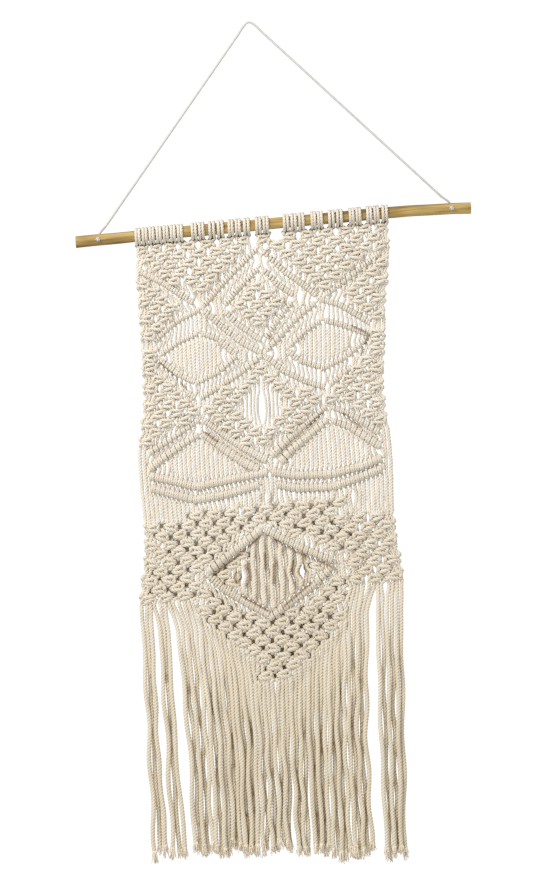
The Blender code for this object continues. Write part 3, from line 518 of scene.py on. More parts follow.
def panel_front(u, v):
    """How far the panel's middle plane stands forward: it comes from behind the rod and ripples a little."""
    hung = -TOP_SET_BACK * math.exp(-max(0.0, v - FIRST_ROW) / TOP_EASE)
    broad = math.sin(u / RIPPLES_ACROSS[0] + RIPPLE_START) * math.sin(v / RIPPLES_DOWN[0])
    slanted = math.sin(u / RIPPLES_ACROSS[1] + v / RIPPLES_DOWN[1])
    ripple = RIPPLE_HEIGHTS[0] * broad + RIPPLE_HEIGHTS[1] * slanted
    return hung + ripple * min(1.0, v / RIPPLE_FULL)


# ---- knotting, strand by strand
class Line:
    """A bar of clove hitches: the strand in one slot is held across its neighbours, which are tied on it."""

    def __init__(self, places, lift, past):
        self.places = places
        self.lift = lift
        self.step = 1 if places[-1][0] > places[0][0] else -1
        self.holder = None
        start, end = (slot_number(*spot) for spot in (places[0], places[-1]))
        self.first = clamped(math.floor(start) + (self.step > 0), 0, STRANDS - 1)
        self.last = clamped(math.floor(end) + (self.step < 0) + self.step * past, 0, STRANDS - 1)

    def at(self, u):
        """v of the bar at u, and its direction there."""
        for (ua, va), (ub, vb) in zip(self.places, self.places[1:]):
            if (u - ub) * self.step <= 0:
                break
        share = clamped((u - ua) / (ub - ua))
        length = math.hypot(ub - ua, vb - va)
        return va + share * (vb - va), ((ub - ua) / length, (vb - va) / length)

    def crossings(self):
        """The places where the holder meets each neighbour: slot, u, v, direction."""
        rows = []
        for slot in range(self.first + self.step, self.last + self.step, self.step):
            u = self.places[0][0]
            for _ in range(3):
                v, run = self.at(u)
                u = slot_u(slot - 0.5 * self.step, v)
            rows.append((slot, u, v, run))
        return rows


def falling_lines():
    """Each bar cut at its highest and lowest places into lines that run downwards."""
    lines = []
    for name, bar in BARS.items():
        lift = BAR_LIFTS.get(name, 0.0)
        part = [bar[0]]
        for spot, after in zip(bar[1:], bar[2:] + (None,)):
            part.append(spot)
            turns = after is not None and (after[1] - spot[1]) * (spot[1] - part[0][1]) < 0
            if turns or after is None:
                rising = part[-1][1] < part[0][1]  # in a valley it's tied over the other line's holder
                lines.append(Line(part[::-1] if rising else part, lift, rising and part[0] is not bar[0]))
                part = [spot]
    return lines


class Knotting:
    """The state of the work: which strand hangs in which slot, and the places each has passed through."""

    def __init__(self):
        self.order = list(range(STRANDS))
        self.paths = [[] for _ in range(STRANDS)]
        self.chance = random.Random(KNOT_SEED)

    def add(self, strand, u, v, front, radius, flat=ROUND):
        """One more place on a strand, flattened along a direction or not."""
        self.paths[strand].append((u, v, front + panel_front(u, v), radius, *flat))

    def stray(self):
        """A small random offset."""
        return self.chance.gauss(0.0, PLACE_STRAY)

    def run_down(self, slot, v_to):
        """Lets the strand in a slot hang plain down to v_to."""
        strand = self.order[slot]
        v = self.paths[strand][-1][1] + PLAIN_EASE
        room = v_to - PLAIN_EASE - v
        if room <= SLANT_RUN - 2 * PLAIN_EASE:
            return
        count = max(1, math.ceil(room / PLAIN_STEP))
        for index in range(count + 1):
            spot = v + room * index / count
            sway = self.chance.uniform(-PLAIN_SWAY, PLAIN_SWAY)
            u = slot_u(slot, spot) + sway
            held = [inside(window, u, spot) for window in PLAIN_WINDOWS]
            behind = held[GATHERED] and slot % 2
            u, crowded = parted(u, spot, SET_BACK_SHARE if behind else 1.0)
            growth = math.prod(grown for grown, here in zip(WINDOW_GROWTH, held) if here)
            if held[GATHERED]:
                u += GATHERED_SWAY * math.sin(spot / GATHERED_WAVE + GATHERED_SHIFT * slot)
            front = sway + max(CROWDED_FRONT * crowded, GATHERED_FRONT * held[GATHERED]) * (-1) ** slot
            self.add(strand, u, spot, front, rope_radius(spot) * growth)

    def square_knot(self, slot, u, v):
        """Ties the outer two of four strands round the inner two."""
        half = ROW_PITCH / 2
        for offset in range(4):
            self.run_down(slot + offset, v - half)
        left, inner_left, inner_right, right = self.order[slot:slot + 4]
        radius = rope_radius(v)
        grow = radius / rope_radius(KNOT_DRAWN_AT)
        pitch = (slot_u(slot + 3, v) - slot_u(slot, v)) / 3
        squeeze = clamped(KNOT_WIDTH * pitch / KNOT_PITCH, *KNOT_SQUEEZE)
        squeeze *= FIRST_SQUEEZE if v <= FIRST_ROW else 1.0
        full = float(np.interp(v, FULL_FROM, (0.0, 1.0))) * (LOOSE_FULL if u > LOOSE_FROM else 1.0)
        lowered, raised = grow * (1.0 - FULL_LOWER * full), FULL_RAISE * full
        tilt = KNOT_TILT[0] + full * (KNOT_TILT[1] - KNOT_TILT[0])
        turned = self.chance.uniform(-tilt, tilt)
        wide = full * (0 < slot < STRANDS - 4)
        pairs = zip(KNOT_RIGHT, KNOT_RIGHT_FULL)
        shape_left, shape_right = KNOT_LEFT, [[a + wide * (b - a) for a, b in zip(*pair)] for pair in pairs]
        if math.sin(KNOT_HAND[0] * v + (1.0 - full) * KNOT_HAND[1] * slot) > 0.0:
            shape_left, shape_right = mirrored(shape_right), mirrored(shape_left)
        off_u, off_v = self.stray(), self.stray()
        for strand, shape, side in ((left, shape_left, 1), (right, shape_right, 1),
                                    (inner_left, KNOT_FILLER, -1), (inner_right, KNOT_FILLER, 1)):
            for across, down, front in shape:
                at_edge = abs(down) > KNOT_EDGE
                share = pitch / KNOT_PITCH if at_edge else squeeze
                shift = side * across * share
                thin = FILLER_SQUEEZE if shape is KNOT_FILLER and not at_edge else 1.0
                self.add(strand, u + shift + off_u + self.stray() / 2, v + down + turned * shift + off_v,
                         front * (grow if front < 0.0 else lowered) + at_edge * raised + self.stray() / 2,
                         radius * thin)
        for knot_slot, beside, inward in BESIDE_KNOT:
            if slot == knot_slot:
                for near, pull in zip(beside, EDGE_PULL):
                    self.run_down(near, v)
                    self.add(self.order[near], slot_u(near, v) + inward * pull, v, self.stray(), radius)

    def hitch(self, line, slot, u, v, run):
        """Ties the strand in a slot onto the holder, and swaps the two."""
        holder_slot = self.order.index(line.holder)
        if (slot - holder_slot) * line.step <= 0:
            return
        worker = self.order[slot]
        middle = STRANDS // 2
        width = min(HITCH_WIDEST, (slot_u(middle, v) - slot_u(middle - 1, v)) / abs(run[0]))
        growth = along(BAR_GROWTH, v)
        radius = clamped(HITCH_SHARE * width, *HITCH_THICK) * growth ** WRAPS_GROW
        core = HOLDER_RADIUS * growth ** CORE_GROWS
        ring = core + (1.0 - HITCH_FLAT) * radius
        down = (-run[1], run[0]) if run[0] > 0 else (run[1], -run[0])

        def spot(strand, ahead, below, front, thick, flat=ROUND):
            """One more place on a strand, measured along the bar and square to it."""
            self.add(strand, u + ahead * run[0] + below * down[0], v + ahead * run[1] + below * down[1],
                     front + line.lift, thick, flat)

        self.run_down(slot, v - ring - HITCH_REACH)
        slack = self.stray()
        spot(worker, width / 4 + slack, -ring - HITCH_REACH, HITCH_BACK, radius)
        for turn in range(HITCH_TURN, HITCH_END, HITCH_TURN):
            share = clamped((turn - HITCH_MOVES[0]) / HITCH_MOVES[1])
            angle = math.radians(turn)
            below, front = -math.cos(angle), -math.sin(angle)
            flat = (HITCH_FLAT * below * down[0], HITCH_FLAT * below * down[1], HITCH_FLAT * front)
            spot(worker, width * (0.25 - 0.5 * share) + slack / 2, ring * below, ring * front, radius, flat)
        spot(worker, -width / 4 + slack, ring + HITCH_REACH, HITCH_BACK, radius)
        spot(line.holder, 0.0, 0.0, 0.0, core)
        self.order[slot], self.order[holder_slot] = line.holder, worker

    def take_up(self, line):
        """Takes the strand in the line's first slot as its holder."""
        u, v = line.places[0]
        self.run_down(line.first, v - HITCH_REACH)
        line.holder = self.order[line.first]
        near = u + HOLDER_START * (slot_u(line.first, v) - u)
        self.add(line.holder, near, v, line.lift, rope_radius(v))


def mirrored(shape):
    """The places of a knot's cord, left and right changed round."""
    return [(-across, down, front) for across, down, front in shape]


def square_knots():
    """Each square knot as (v, u, first slot): those that lie in a field, clear of the bars."""
    rows = []
    for level in range(math.ceil((max(spot[1] for spot in LOWER_EDGE) - FIRST_ROW) / ROW_PITCH)):
        for inner in (False, True):
            v = FIRST_ROW + level * ROW_PITCH + inner * INNER_SHIFT
            fields = [field for index, field in enumerate(FIELDS) if inner == (index == INNER_FIELD)]
            tied = []
            for slot in range(2 * (level % 2), STRANDS - 3, 4):
                if is_knotted(slot, v, fields, KNOT_OFF_BAR):
                    tied.append(slot)
            for edge, beside in ((0, 2), (STRANDS - 4, STRANDS - 6)):
                if level % 2 and beside not in tied and is_knotted(edge, v, fields, EDGE_OFF_BAR):
                    tied.append(edge)
            rows.extend((v, slot_u(slot + 1.5, v), slot) for slot in tied)
    return rows


def is_knotted(slot, v, fields, clear):
    """Whether the four strands from a slot on are tied at this drop."""
    u = slot_u(slot + 1.5, v)
    held = any(inside(field, u, v) for field in fields)
    return held and off_bars(u, v) > clear and not any(inside(window, u, v) for window in PLAIN_WINDOWS)


def larks_heads(work):
    """Starts every strand: from the bight behind the rod under it, up its front and down its back."""
    radius = rope_radius(0.0)
    for strand, u in enumerate(WRAPS):
        inward = 1 if strand % 2 == 0 else -1
        path = work.paths[strand]
        path.append(((u + WRAPS[strand + inward]) / 2, *BIGHT, radius, *ROUND))
        for out, drop, front in WRAP_UP:
            path.append((u - out * inward, drop, front, radius, *ROUND))
        for turn in WRAP_ANGLES:
            angle = math.radians(turn)
            flat = (0.0, WRAP_FLAT * math.cos(angle), WRAP_FLAT * math.sin(angle))
            path.append((u, WRAP_CENTRE * math.cos(angle), WRAP_CENTRE * math.sin(angle), radius, *flat))
        leaves = (u + slot_u(strand, WRAP_LEAVES_AT)) / 2
        for middle, (back, drop, front) in ((u, WRAP_DOWN), (leaves, WRAP_LEAVES)):
            path.append((middle + back * inward, drop, front, radius, *ROUND))


def fringe(work):
    """Lets every strand hang from the last knot into its lock."""
    slot = 0
    for count, mid_left, mid_right, end_left, end_right, end_v, back, early in LOCKS:
        for index in range(count):
            share = index / (count - 1)
            mid = mid_left + share * (mid_right - mid_left)
            end = end_left + share * (end_right - end_left)
            strand = work.order[slot]
            start_u, start_v = work.paths[strand][-1][:2]
            root = slot_u(slot, max(start_v, LOWER_EDGE[0][1]))
            bend = start_v + FRINGE_CLOSES
            tip = end_v - FRINGE_UNEVEN * abs(math.sin(UNEVEN_STEP * slot))
            rows = ((start_v, start_u), (start_v + ROOT_DROP, root), (bend, root + early * (mid - root)),
                    (FRINGE_MIDDLE, mid), (tip, end))
            layer = FRINGE_LAYER * (-1) ** index
            phase, sway = work.chance.uniform(0, FULL_TURN), work.chance.uniform(*FRINGE_SWAY)
            wave = work.chance.uniform(*FRINGE_WAVE)
            fall = tip - start_v - FRINGE_START
            steps = math.ceil(fall / FRINGE_STEP)
            for step in range(1, steps + 1):
                v = start_v + FRINGE_START + fall * step / steps
                loose = clamped((v - start_v - FRINGE_FREE[0]) / FRINGE_FREE[1])
                u = along(rows, v) + loose * sway * math.sin(v / wave * FULL_TURN + phase)
                depth = DEPTH_SWAY * math.sin(v / DEPTH_WAVE * FULL_TURN + 2.0 * phase)
                work.add(strand, u, v, loose * (layer - back + depth), rope_radius(v))
            slot += 1


def knot_everything():
    """Works the whole panel from the rod down."""
    work = Knotting()
    larks_heads(work)
    tasks = [(v, 1, "knot", (slot, u, v)) for v, u, slot in square_knots()]
    for line in falling_lines():
        tasks.append((line.places[0][1] - BEGUN_BEFORE, 0, "line", (line,)))
        for slot, u, v, run in line.crossings():
            tasks.append((v, 2, "hitch", (line, slot, u, v, run)))
    deeds = {"knot": work.square_knot, "line": work.take_up, "hitch": work.hitch}
    for _, _, kind, facts in sorted(tasks, key=lambda task: task[:2]):
        deeds[kind](*facts)
    fringe(work)
    return work


# ---- twisted tubes
def gaps_between(rows):
    """The distance from each row's place to the next one's."""
    return np.linalg.norm(np.diff(rows[:, :3], axis=0), axis=1)


def smooth_curve(rows):
    """Rows that begin with a place, made into a dense smooth curve through the same places."""
    rows = np.asarray(rows, float)
    rows = rows[np.concatenate([[True], gaps_between(rows) > LEAST_APART])]
    gaps = gaps_between(rows)[:, None]
    slopes = np.diff(rows, axis=0) / gaps
    tangents = np.empty_like(rows)
    tangents[1:-1] = (slopes[:-1] * gaps[1:] + slopes[1:] * gaps[:-1]) / (gaps[1:] + gaps[:-1])
    tangents[0], tangents[-1] = slopes[0], slopes[-1]
    t = np.linspace(0.0, 1.0, SPLINE_SAMPLES + 1)[:-1][:, None, None]
    a, b = rows[:-1], rows[1:]
    run_a, run_b = tangents[:-1] * gaps, tangents[1:] * gaps
    curve = ((2 * t ** 3 - 3 * t ** 2 + 1) * a + (t ** 3 - 2 * t ** 2 + t) * run_a
             + (3 * t ** 2 - 2 * t ** 3) * b + (t ** 3 - t ** 2) * run_b)
    return np.concatenate([curve.transpose(1, 0, 2).reshape(-1, rows.shape[1]), rows[-1:]])


def even_steps(curve, step):
    """A dense curve read at even steps, with the distance along it."""
    run = np.concatenate([[0.0], np.cumsum(gaps_between(curve))])
    count = max(2, round(run[-1] / step))
    places = np.linspace(0.0, run[-1], count + 1)
    return np.stack([np.interp(places, run, curve[:, column]) for column in range(curve.shape[1])], 1), places


def carried_frames(points):
    """The direction of a line at each point, and a side direction carried along without turning round it."""
    runs = np.gradient(points, axis=0)
    runs /= np.linalg.norm(runs, axis=1)[:, None]
    start = np.cross(runs[0], OFF_AXIS)
    sides = np.empty_like(points)
    sides[0] = start / np.linalg.norm(start)
    for index in range(1, len(points)):
        side = sides[index - 1] - runs[index] * (sides[index - 1] @ runs[index])
        sides[index] = side / math.sqrt(side @ side)
    return runs, sides


def rope_section():
    """Angles, radii and groove marks of the rope's cross-section."""
    angles, radii, marks = [], [], []
    for ply in range(PLIES):
        middle = ply * 2 * math.pi / PLIES
        angles += [middle - SHOULDER_TURN, middle + SHOULDER_TURN, middle + math.pi / PLIES]
        radii += [1.0, 1.0, 1.0 - GROOVE_DEPTH]
        marks += [0.0, 0.0, 1.0]
    return np.array(angles), np.array(radii), np.array(marks)


class TubeMesh:
    """Collects tubes and makes one mesh of them, with a UV map and marks for the finish, painted crevice
    shade among them.
    """

    def __init__(self):
        self.points, self.faces, self.uvs, self.groove, self.tone = [], [], [], [], []
        self.count = 0

    def add(self, points, radii, run, tone, lay=ROPE_LAY, phase=0.0, section=None, flat=None):
        """One closed tube along points (metres), with its radii (metres) and the distance along it."""
        angles, shape, marks = section or rope_section()
        sides = len(angles)
        runs, side = carried_frames(points)
        other = np.cross(runs, side)
        turn = angles[None, :] + (run[:, None] / lay * 2 * math.pi + phase)
        out = np.cos(turn)[..., None] * side[:, None, :] + np.sin(turn)[..., None] * other[:, None, :]
        off = (radii[:, None] * shape[None, :])[..., None] * out
        if flat is not None:
            amount = np.linalg.norm(flat, axis=1)[:, None]
            press = (flat / np.maximum(amount, LEAST_FLAT))[:, None, :]
            off -= press * (off * press).sum(-1, keepdims=True) * amount[:, None, :]
        ring = points[:, None, :] + off
        count = len(points)
        base = self.count
        row = np.arange(count - 1)[:, None] * sides
        here = np.arange(sides)[None, :]
        after = (here + 1) % sides
        quads = np.stack([row + here, row + after, row + sides + after, row + sides + here], -1)
        self.faces.append(quads.reshape(-1, 4) + base)
        across = np.broadcast_to(here / sides, (count - 1, sides))
        low, high = (run[:-1, None] / lay) + 0 * across, (run[1:, None] / lay) + 0 * across
        corner_u = np.stack([across, across + 1 / sides, across + 1 / sides, across], -1)
        corner_v = np.stack([low, low, high, high], -1)
        self.uvs.append(np.stack([corner_u, corner_v], -1).reshape(-1, 2))
        self.points.append(ring.reshape(-1, 3))
        self.groove.append(np.tile(marks, count))
        self.tone.append(np.full(count * sides, tone))
        self.count += count * sides
        self.cap(points[0], base + np.arange(sides)[::-1], tone)
        self.cap(points[-1], base + (count - 1) * sides + np.arange(sides), tone)

    def cap(self, middle, ring, tone):
        """Closes an end with a fan of triangles round a middle point."""
        self.points.append(np.asarray(middle, float)[None, :])
        self.groove.append(np.zeros(1))
        self.tone.append(np.full(1, tone))
        sides = len(ring)
        fan = np.stack([ring, np.roll(ring, -1), np.full(sides, self.count), np.full(sides, -1)], -1)
        self.faces.append(fan)
        self.uvs.append(np.zeros((sides * 3, 2)))
        self.count += 1

    def all_points(self):
        """Every point so far."""
        return np.concatenate(self.points)

    def build(self, name, finish, crevice_shade=None):
        """The mesh object."""
        faces = np.concatenate(self.faces)
        mesh = bpy.data.meshes.new(name)
        points = self.all_points()
        mesh.vertices.add(len(points))
        mesh.vertices.foreach_set("co", points.astype(np.float32).ravel())
        sizes = np.where(faces[:, 3] < 0, 3, 4)
        corners = faces.ravel()
        corners = corners[corners >= 0]
        mesh.loops.add(len(corners))
        mesh.loops.foreach_set("vertex_index", corners.astype(np.int32))
        mesh.polygons.add(len(faces))
        starts = np.concatenate([[0], np.cumsum(sizes)[:-1]])
        mesh.polygons.foreach_set("loop_start", starts.astype(np.int32))
        mesh.polygons.foreach_set("loop_total", sizes.astype(np.int32))
        mesh.polygons.foreach_set("use_smooth", np.ones(len(faces), bool))
        mesh.update(calc_edges=True)
        layer = mesh.uv_layers.new(name="along_rope")
        layer.data.foreach_set("uv", np.concatenate(self.uvs).astype(np.float32).ravel())
        # the groove mark and the crevice mark give painted shade between the plies and between the ropes;
        # tone is the rope's own
        marks = {"groove": np.concatenate(self.groove), "tone": np.concatenate(self.tone),
                 "crevice_shade": np.zeros(len(points)) if crevice_shade is None else crevice_shade}
        for label, values in marks.items():
            attribute = mesh.attributes.new(label, "FLOAT", "POINT")
            attribute.data.foreach_set("value", values.astype(np.float32))
        mesh.validate()
        mesh.materials.append(finish)
        made = bpy.data.objects.new(name, mesh)
        bpy.context.scene.collection.objects.link(made)
        return made


def blurred(grid, width):
    """A grid smoothed by a bell curve along both its ways."""
    reach = math.ceil(3 * width)
    bell = np.exp(-0.5 * (np.arange(-reach, reach + 1) / width) ** 2)
    for axis in (0, 1):
        grid = np.apply_along_axis(np.convolve, axis, grid, bell / bell.sum(), "same")
    return grid


def read_places(points):
    """u, v and front of each point, and its cell on the grid."""
    u = (points[:, 0] / MM - ROD_MIDDLE[0]) / math.cos(ROD_TILT)
    v = ROD_MIDDLE[1] + u * math.sin(ROD_TILT) - points[:, 2] / MM
    cell = tuple(np.clip(np.round(at - start).astype(int), 0, count - 1)
                 for at, start, count in zip((u, v), CELL_START, CELLS))
    return u, v, -points[:, 1] / MM, cell


def reliefs(points):
    """The front and the back of all the ropes together: a sign and a grid for each."""
    *_, front, cell = read_places(points)
    sides = []
    for sign in (1.0, -1.0):
        outer = np.full(CELLS, EMPTY)
        np.maximum.at(outer, cell, sign * front)
        filled = outer > EMPTY
        share = np.maximum(blurred(filled.astype(float), CELL_BLUR), CELL_LEAST)
        sides.append((sign, blurred(np.where(filled, outer, 0.0), CELL_BLUR) / share))
    return sides


def painted_crevice_shade(points, sides):
    """For each point, the painted shade: from 0 on the outside to 1 deep between the ropes, and dark along
    the painted shadow lines.
    """
    u, v, front, cell = read_places(points)
    depths = [outer[cell] - sign * front for sign, outer in sides]
    deep = np.clip(np.minimum(*depths) / CREVICE_DEPTH * np.interp(v, *zip(*CREVICE_BY_DROP)), 0.0, 1.0)
    # painted shadow: dark lines along the deep folds
    for shadow_line in SHADOW_LINES:
        for a, b in zip(shadow_line, shadow_line[1:]):
            deep = np.maximum(deep, np.exp(-(off_run(u, v, a, b) / SHADOW_LINE_WIDTH) ** 2))
    return deep


def build_ropes(work, finish):
    """The 28 folded ropes, four to a piece, each from one frayed end over the rod to the other."""
    chance = random.Random(ROPE_SEED)
    ends, bundles = [], []
    for rope in range(STRANDS // 2):
        if rope % ROPES_A_PIECE == 0:
            bundles.append(TubeMesh())
        left, right = work.paths[2 * rope], work.paths[2 * rope + 1]
        curve, run = even_steps(smooth_curve(left[::-1] + right[1:]), ROPE_STEP)
        points = to_world(curve[:, :3])
        flat = to_world(curve[:, 4:7]) / MM - (ROD_MIDDLE[0], 0.0, ROD_MIDDLE[1])
        tone = chance.random()
        bundles[-1].add(points, curve[:, 3] * MM, run, tone, phase=chance.uniform(0, FULL_TURN), flat=flat)
        ends += [(points[0], points[0] - points[2], tone), (points[-1], points[-1] - points[-3], tone)]
    # painted shade: each point is darkened by how deep it lies among all the ropes
    sides = reliefs(np.concatenate([bundle.all_points() for bundle in bundles]))
    made = [bundle.build(f"cotton_ropes_{number}", finish, painted_crevice_shade(bundle.all_points(), sides))
            for number, bundle in enumerate(bundles, 1)]
    return made, ends


def build_frayed_ends(ends, finish):
    """The loose fibres at the cut ends, in three tufts, one for each ply."""
    chance = random.Random(HAIR_SEED)
    tubes = TubeMesh()
    section = (np.arange(HAIR_SIDES) * 2 * math.pi / HAIR_SIDES, np.ones(HAIR_SIDES), np.zeros(HAIR_SIDES))
    steps = np.linspace(0.0, 1.0, HAIR_STEPS)[:, None]
    radii = HAIR_RADIUS * MM * (HAIR_TAPER[0] - HAIR_TAPER[1] * steps[:, 0])
    for middle, run, tone in ends:
        down = run / np.linalg.norm(run)
        start, reach = chance.uniform(0, 2 * math.pi), chance.uniform(*END_REACH)
        for hair in range(HAIRS):
            ply = start + (hair % PLIES) * 2 * math.pi / PLIES
            angle = ply + chance.gauss(0.0, HAIR_STRAY)
            side = np.array([math.cos(angle), math.sin(angle), 0.0])
            across = np.array([-side[1], side[0], 0.0])
            out = chance.uniform(*HAIR_PLACE)
            length = chance.uniform(*HAIR_LENGTH) * reach
            spread, curl = chance.uniform(*HAIR_SPREAD) * out, chance.uniform(-HAIR_CURL, HAIR_CURL)
            bow = side * (out * HAIR_OUT + spread * steps ** 1.5) + across * curl * steps ** 2
            points = middle + (down * (steps * length - HAIR_ROOT) + bow) * MM
            tubes.add(points, radii, steps[:, 0] * length, tone, section=section)
    return tubes.build("frayed_ends", finish)


# ---- rod and hanging cord
def edit_only(mesh, kind, chosen):
    """Goes into edit mode with only the chosen edges or faces selected."""
    bpy.ops.object.mode_set(mode="EDIT")
    bpy.ops.mesh.select_mode(type=kind)
    bpy.ops.mesh.select_all(action="DESELECT")
    bpy.ops.object.mode_set(mode="OBJECT")
    for item in mesh.edges if kind == "EDGE" else mesh.polygons:
        item.select = chosen(item)
    bpy.ops.object.mode_set(mode="EDIT")


def bend_rod(mesh):
    """Draws a cylinder of length and radius 1 out to the stick's length, its bend and its uneven surface."""
    length = ROD_ENDS[1] - ROD_ENDS[0]
    for vert in mesh.vertices:
        share, angle = vert.co.z + 0.5, math.atan2(vert.co.y, vert.co.x)
        radius = math.hypot(vert.co.x, vert.co.y)
        at_rim = abs(vert.co.z) > RIM_FROM[0] and radius > RIM_FROM[1]
        u = ROD_ENDS[0] + share * length + (math.copysign(ROD_RIM, vert.co.z) if at_rim else 0.0)
        bumps = sum(high * math.sin(u / run + number * angle + start)
                    for high, run, number, start in ROD_BUMPS)
        radius *= ROD_RADIUS - ROD_PARED + bumps
        vert.co = place(u, rod_drop(u) - radius * math.sin(angle), radius * math.cos(angle))


def build_rod(finish):
    """The stick: a cylinder cut along its length, drawn into its slight bend, with sawn and drilled ends."""
    bpy.ops.object.select_all(action="DESELECT")
    bpy.ops.mesh.primitive_cylinder_add(vertices=ROD_SIDES, radius=1.0, depth=1.0)
    rod = bpy.context.object
    rod.name = rod.data.name = "grained_rod"
    ends = [vert.co.z for vert in rod.data.vertices]
    edit_only(rod.data, "EDGE", lambda edge: ends[edge.vertices[0]] != ends[edge.vertices[1]])
    bpy.ops.mesh.subdivide(number_cuts=ROD_CUTS)
    edit_only(rod.data, "FACE", lambda face: abs(face.normal.z) > END_FACING)
    for thickness in ROD_INSETS:
        bpy.ops.mesh.inset(thickness=thickness)
    bpy.ops.object.mode_set(mode="OBJECT")
    bend_rod(rod.data)
    bpy.ops.object.select_all(action="DESELECT")
    for u in CORD_HOLES:
        bpy.ops.mesh.primitive_cylinder_add(
            vertices=DRILL_SIDES, radius=HOLE_DIAMETER / 2 * MM, depth=4 * ROD_RADIUS * MM,
            location=place(u, rod_drop(u)), rotation=(math.pi / 2, 0.0, 0.0))
        drill = bpy.context.object
        cut = rod.modifiers.new("hole", "BOOLEAN")
        cut.object = drill
        cut.solver = "EXACT"
        bpy.context.view_layer.objects.active = rod
        bpy.ops.object.modifier_apply(modifier=cut.name)
        bpy.data.objects.remove(drill)
    rod.data.shade_smooth()
    rod.select_set(True)
    bpy.ops.object.shade_smooth_by_angle(angle=SHARP_ANGLE)
    rod.data.materials.clear()
    rod.data.materials.append(finish)
    return rod


def on_nail(lean):
    """The hanging cord's place round the nail, at an angle from straight up."""
    nail = Vector((0.0, 0.0, -(CORD_DIAMETER / 2 + CORD_BEND)))
    return (nail + Vector((math.sin(lean), 0.0, math.cos(lean))) * CORD_BEND) * MM


def cord_route():
    """The hanging cord: out of the left hole behind the rod, round the nail, and into the right hole."""
    halves, leans = [], []
    for u in CORD_HOLES:
        drop = rod_drop(u)
        way = [place(u, drop, y) for y in (-ROD_RADIUS, ROD_RADIUS)]
        for step in range(1, CORD_BEND_STEPS + 1):
            angle = math.pi / 2 * step / CORD_BEND_STEPS
            rise = CORD_BEND * (1 - math.cos(angle))
            way.append(place(u, drop - rise, ROD_RADIUS + CORD_BEND * math.sin(angle)))
        foot = way[-1]
        leans.append(math.copysign(math.atan2(-foot.z, abs(foot.x)), foot.x))
        top = on_nail(leans[-1])
        count = round((top - foot).length / (CORD_STEP * MM))
        halves.append(way + [foot.lerp(top, i / count) for i in range(1, count + 1)])
    arc = [on_nail(leans[0] + (leans[1] - leans[0]) * share) for share in OVER_NAIL]
    return halves[0] + arc + halves[1][::-1]


def build_cord(name, rows, radius, step, finish, placed=to_world):
    """A thin twisted cord through rows of places, which placed() turns into metres."""
    curve, run = even_steps(smooth_curve(rows), step)
    tube = TubeMesh()
    tube.add(placed(curve), np.full(len(curve), radius * MM), run, CORD_TONE, lay=CORD_LAY)
    return tube.build(name, finish)


def wound_knot(u):
    """The middle line of a stopper knot, wound in front of the rod's hole at u."""
    rows = []
    for step in range(KNOT_PLACES + 1):
        share = step / KNOT_PLACES
        angle = 2 * math.pi * KNOT_TURNS * share
        wide = KNOT_NARROW + (1 - KNOT_NARROW) * math.sqrt(math.sin(math.pi * share))
        rows.append((u + KNOT_WIND[0] * (2 * share - 1),
                     rod_drop(u) + wide * KNOT_WIND[1] * math.cos(angle),
                     ROD_RADIUS + GAP + KNOT_DEPTH + wide * KNOT_WIND[2] * math.sin(angle)))
    return rows


# ---- finishes
def feed(socket, value):
    """Links another node's socket to this one, or sets its value."""
    if isinstance(value, bpy.types.NodeSocket):
        socket.id_data.links.new(value, socket)
    else:
        socket.default_value = value


def wired(tree, kind, inputs=(), output=0, **settings):
    """One output of a new node, with its settings; its inputs take sockets or values."""
    node = tree.nodes.new(kind)
    node.location = (NODE_STEP * len(tree.nodes), 0.0)
    for name, value in settings.items():
        setattr(node, name, value)
    for name, value in dict(inputs).items():
        feed(node.inputs[name], value)
    return node.outputs[output]


def mixed(tree, factor, first, second, blend="MIX"):
    """A colour mix."""
    inputs = {0: factor, 6: first, 7: second}
    return wired(tree, "ShaderNodeMix", inputs, 2, data_type="RGBA", blend_type=blend)


def ranged(tree, value, low, high, out_low=0.0, out_high=1.0):
    """A value moved from one range to another, and held inside it."""
    inputs = {"Value": value, "From Min": low, "From Max": high, "To Min": out_low, "To Max": out_high}
    return wired(tree, "ShaderNodeMapRange", inputs, "Result")


def times(tree, first, second):
    """Two values multiplied."""
    return wired(tree, "ShaderNodeMath", {0: first, 1: second}, operation="MULTIPLY")


def added(tree, first, second, shares):
    """Two values added up, each by its share."""
    inputs = {0: times(tree, first, shares[0]), 1: times(tree, second, shares[1])}
    return wired(tree, "ShaderNodeMath", inputs, operation="ADD")


def noise(tree, vector, scale, detail):
    """A noise texture's value."""
    return wired(tree, "ShaderNodeTexNoise", {"Vector": vector, "Scale": scale, "Detail": detail}, "Fac")


def stretched(tree, vector, scale, turn=(0.0, 0.0, 0.0)):
    """A vector scaled along its axes, and turned."""
    return wired(tree, "ShaderNodeMapping", {"Vector": vector, "Scale": scale, "Rotation": turn}, "Vector")


def new_group(name, colours=()):
    """A node group that takes colours and gives a colour and a normal, with its two end nodes."""
    tree = bpy.data.node_groups.new(name, "ShaderNodeTree")
    for label in colours:
        tree.interface.new_socket(label, in_out="INPUT", socket_type="NodeSocketColor")
    tree.interface.new_socket("Color", in_out="OUTPUT", socket_type="NodeSocketColor")
    tree.interface.new_socket("Normal", in_out="OUTPUT", socket_type="NodeSocketVector")
    return tree, tree.nodes.new("NodeGroupInput").outputs, tree.nodes.new("NodeGroupOutput").inputs


def give(tree, result, colour, height, bump):
    """Gives a group its colour, and its normal from a height and a bump's strength and distance."""
    feed(result["Color"], colour)
    inputs = {"Height": height, "Strength": bump[0], "Distance": bump[1]}
    feed(result["Normal"], wired(tree, "ShaderNodeBump", inputs, "Normal"))


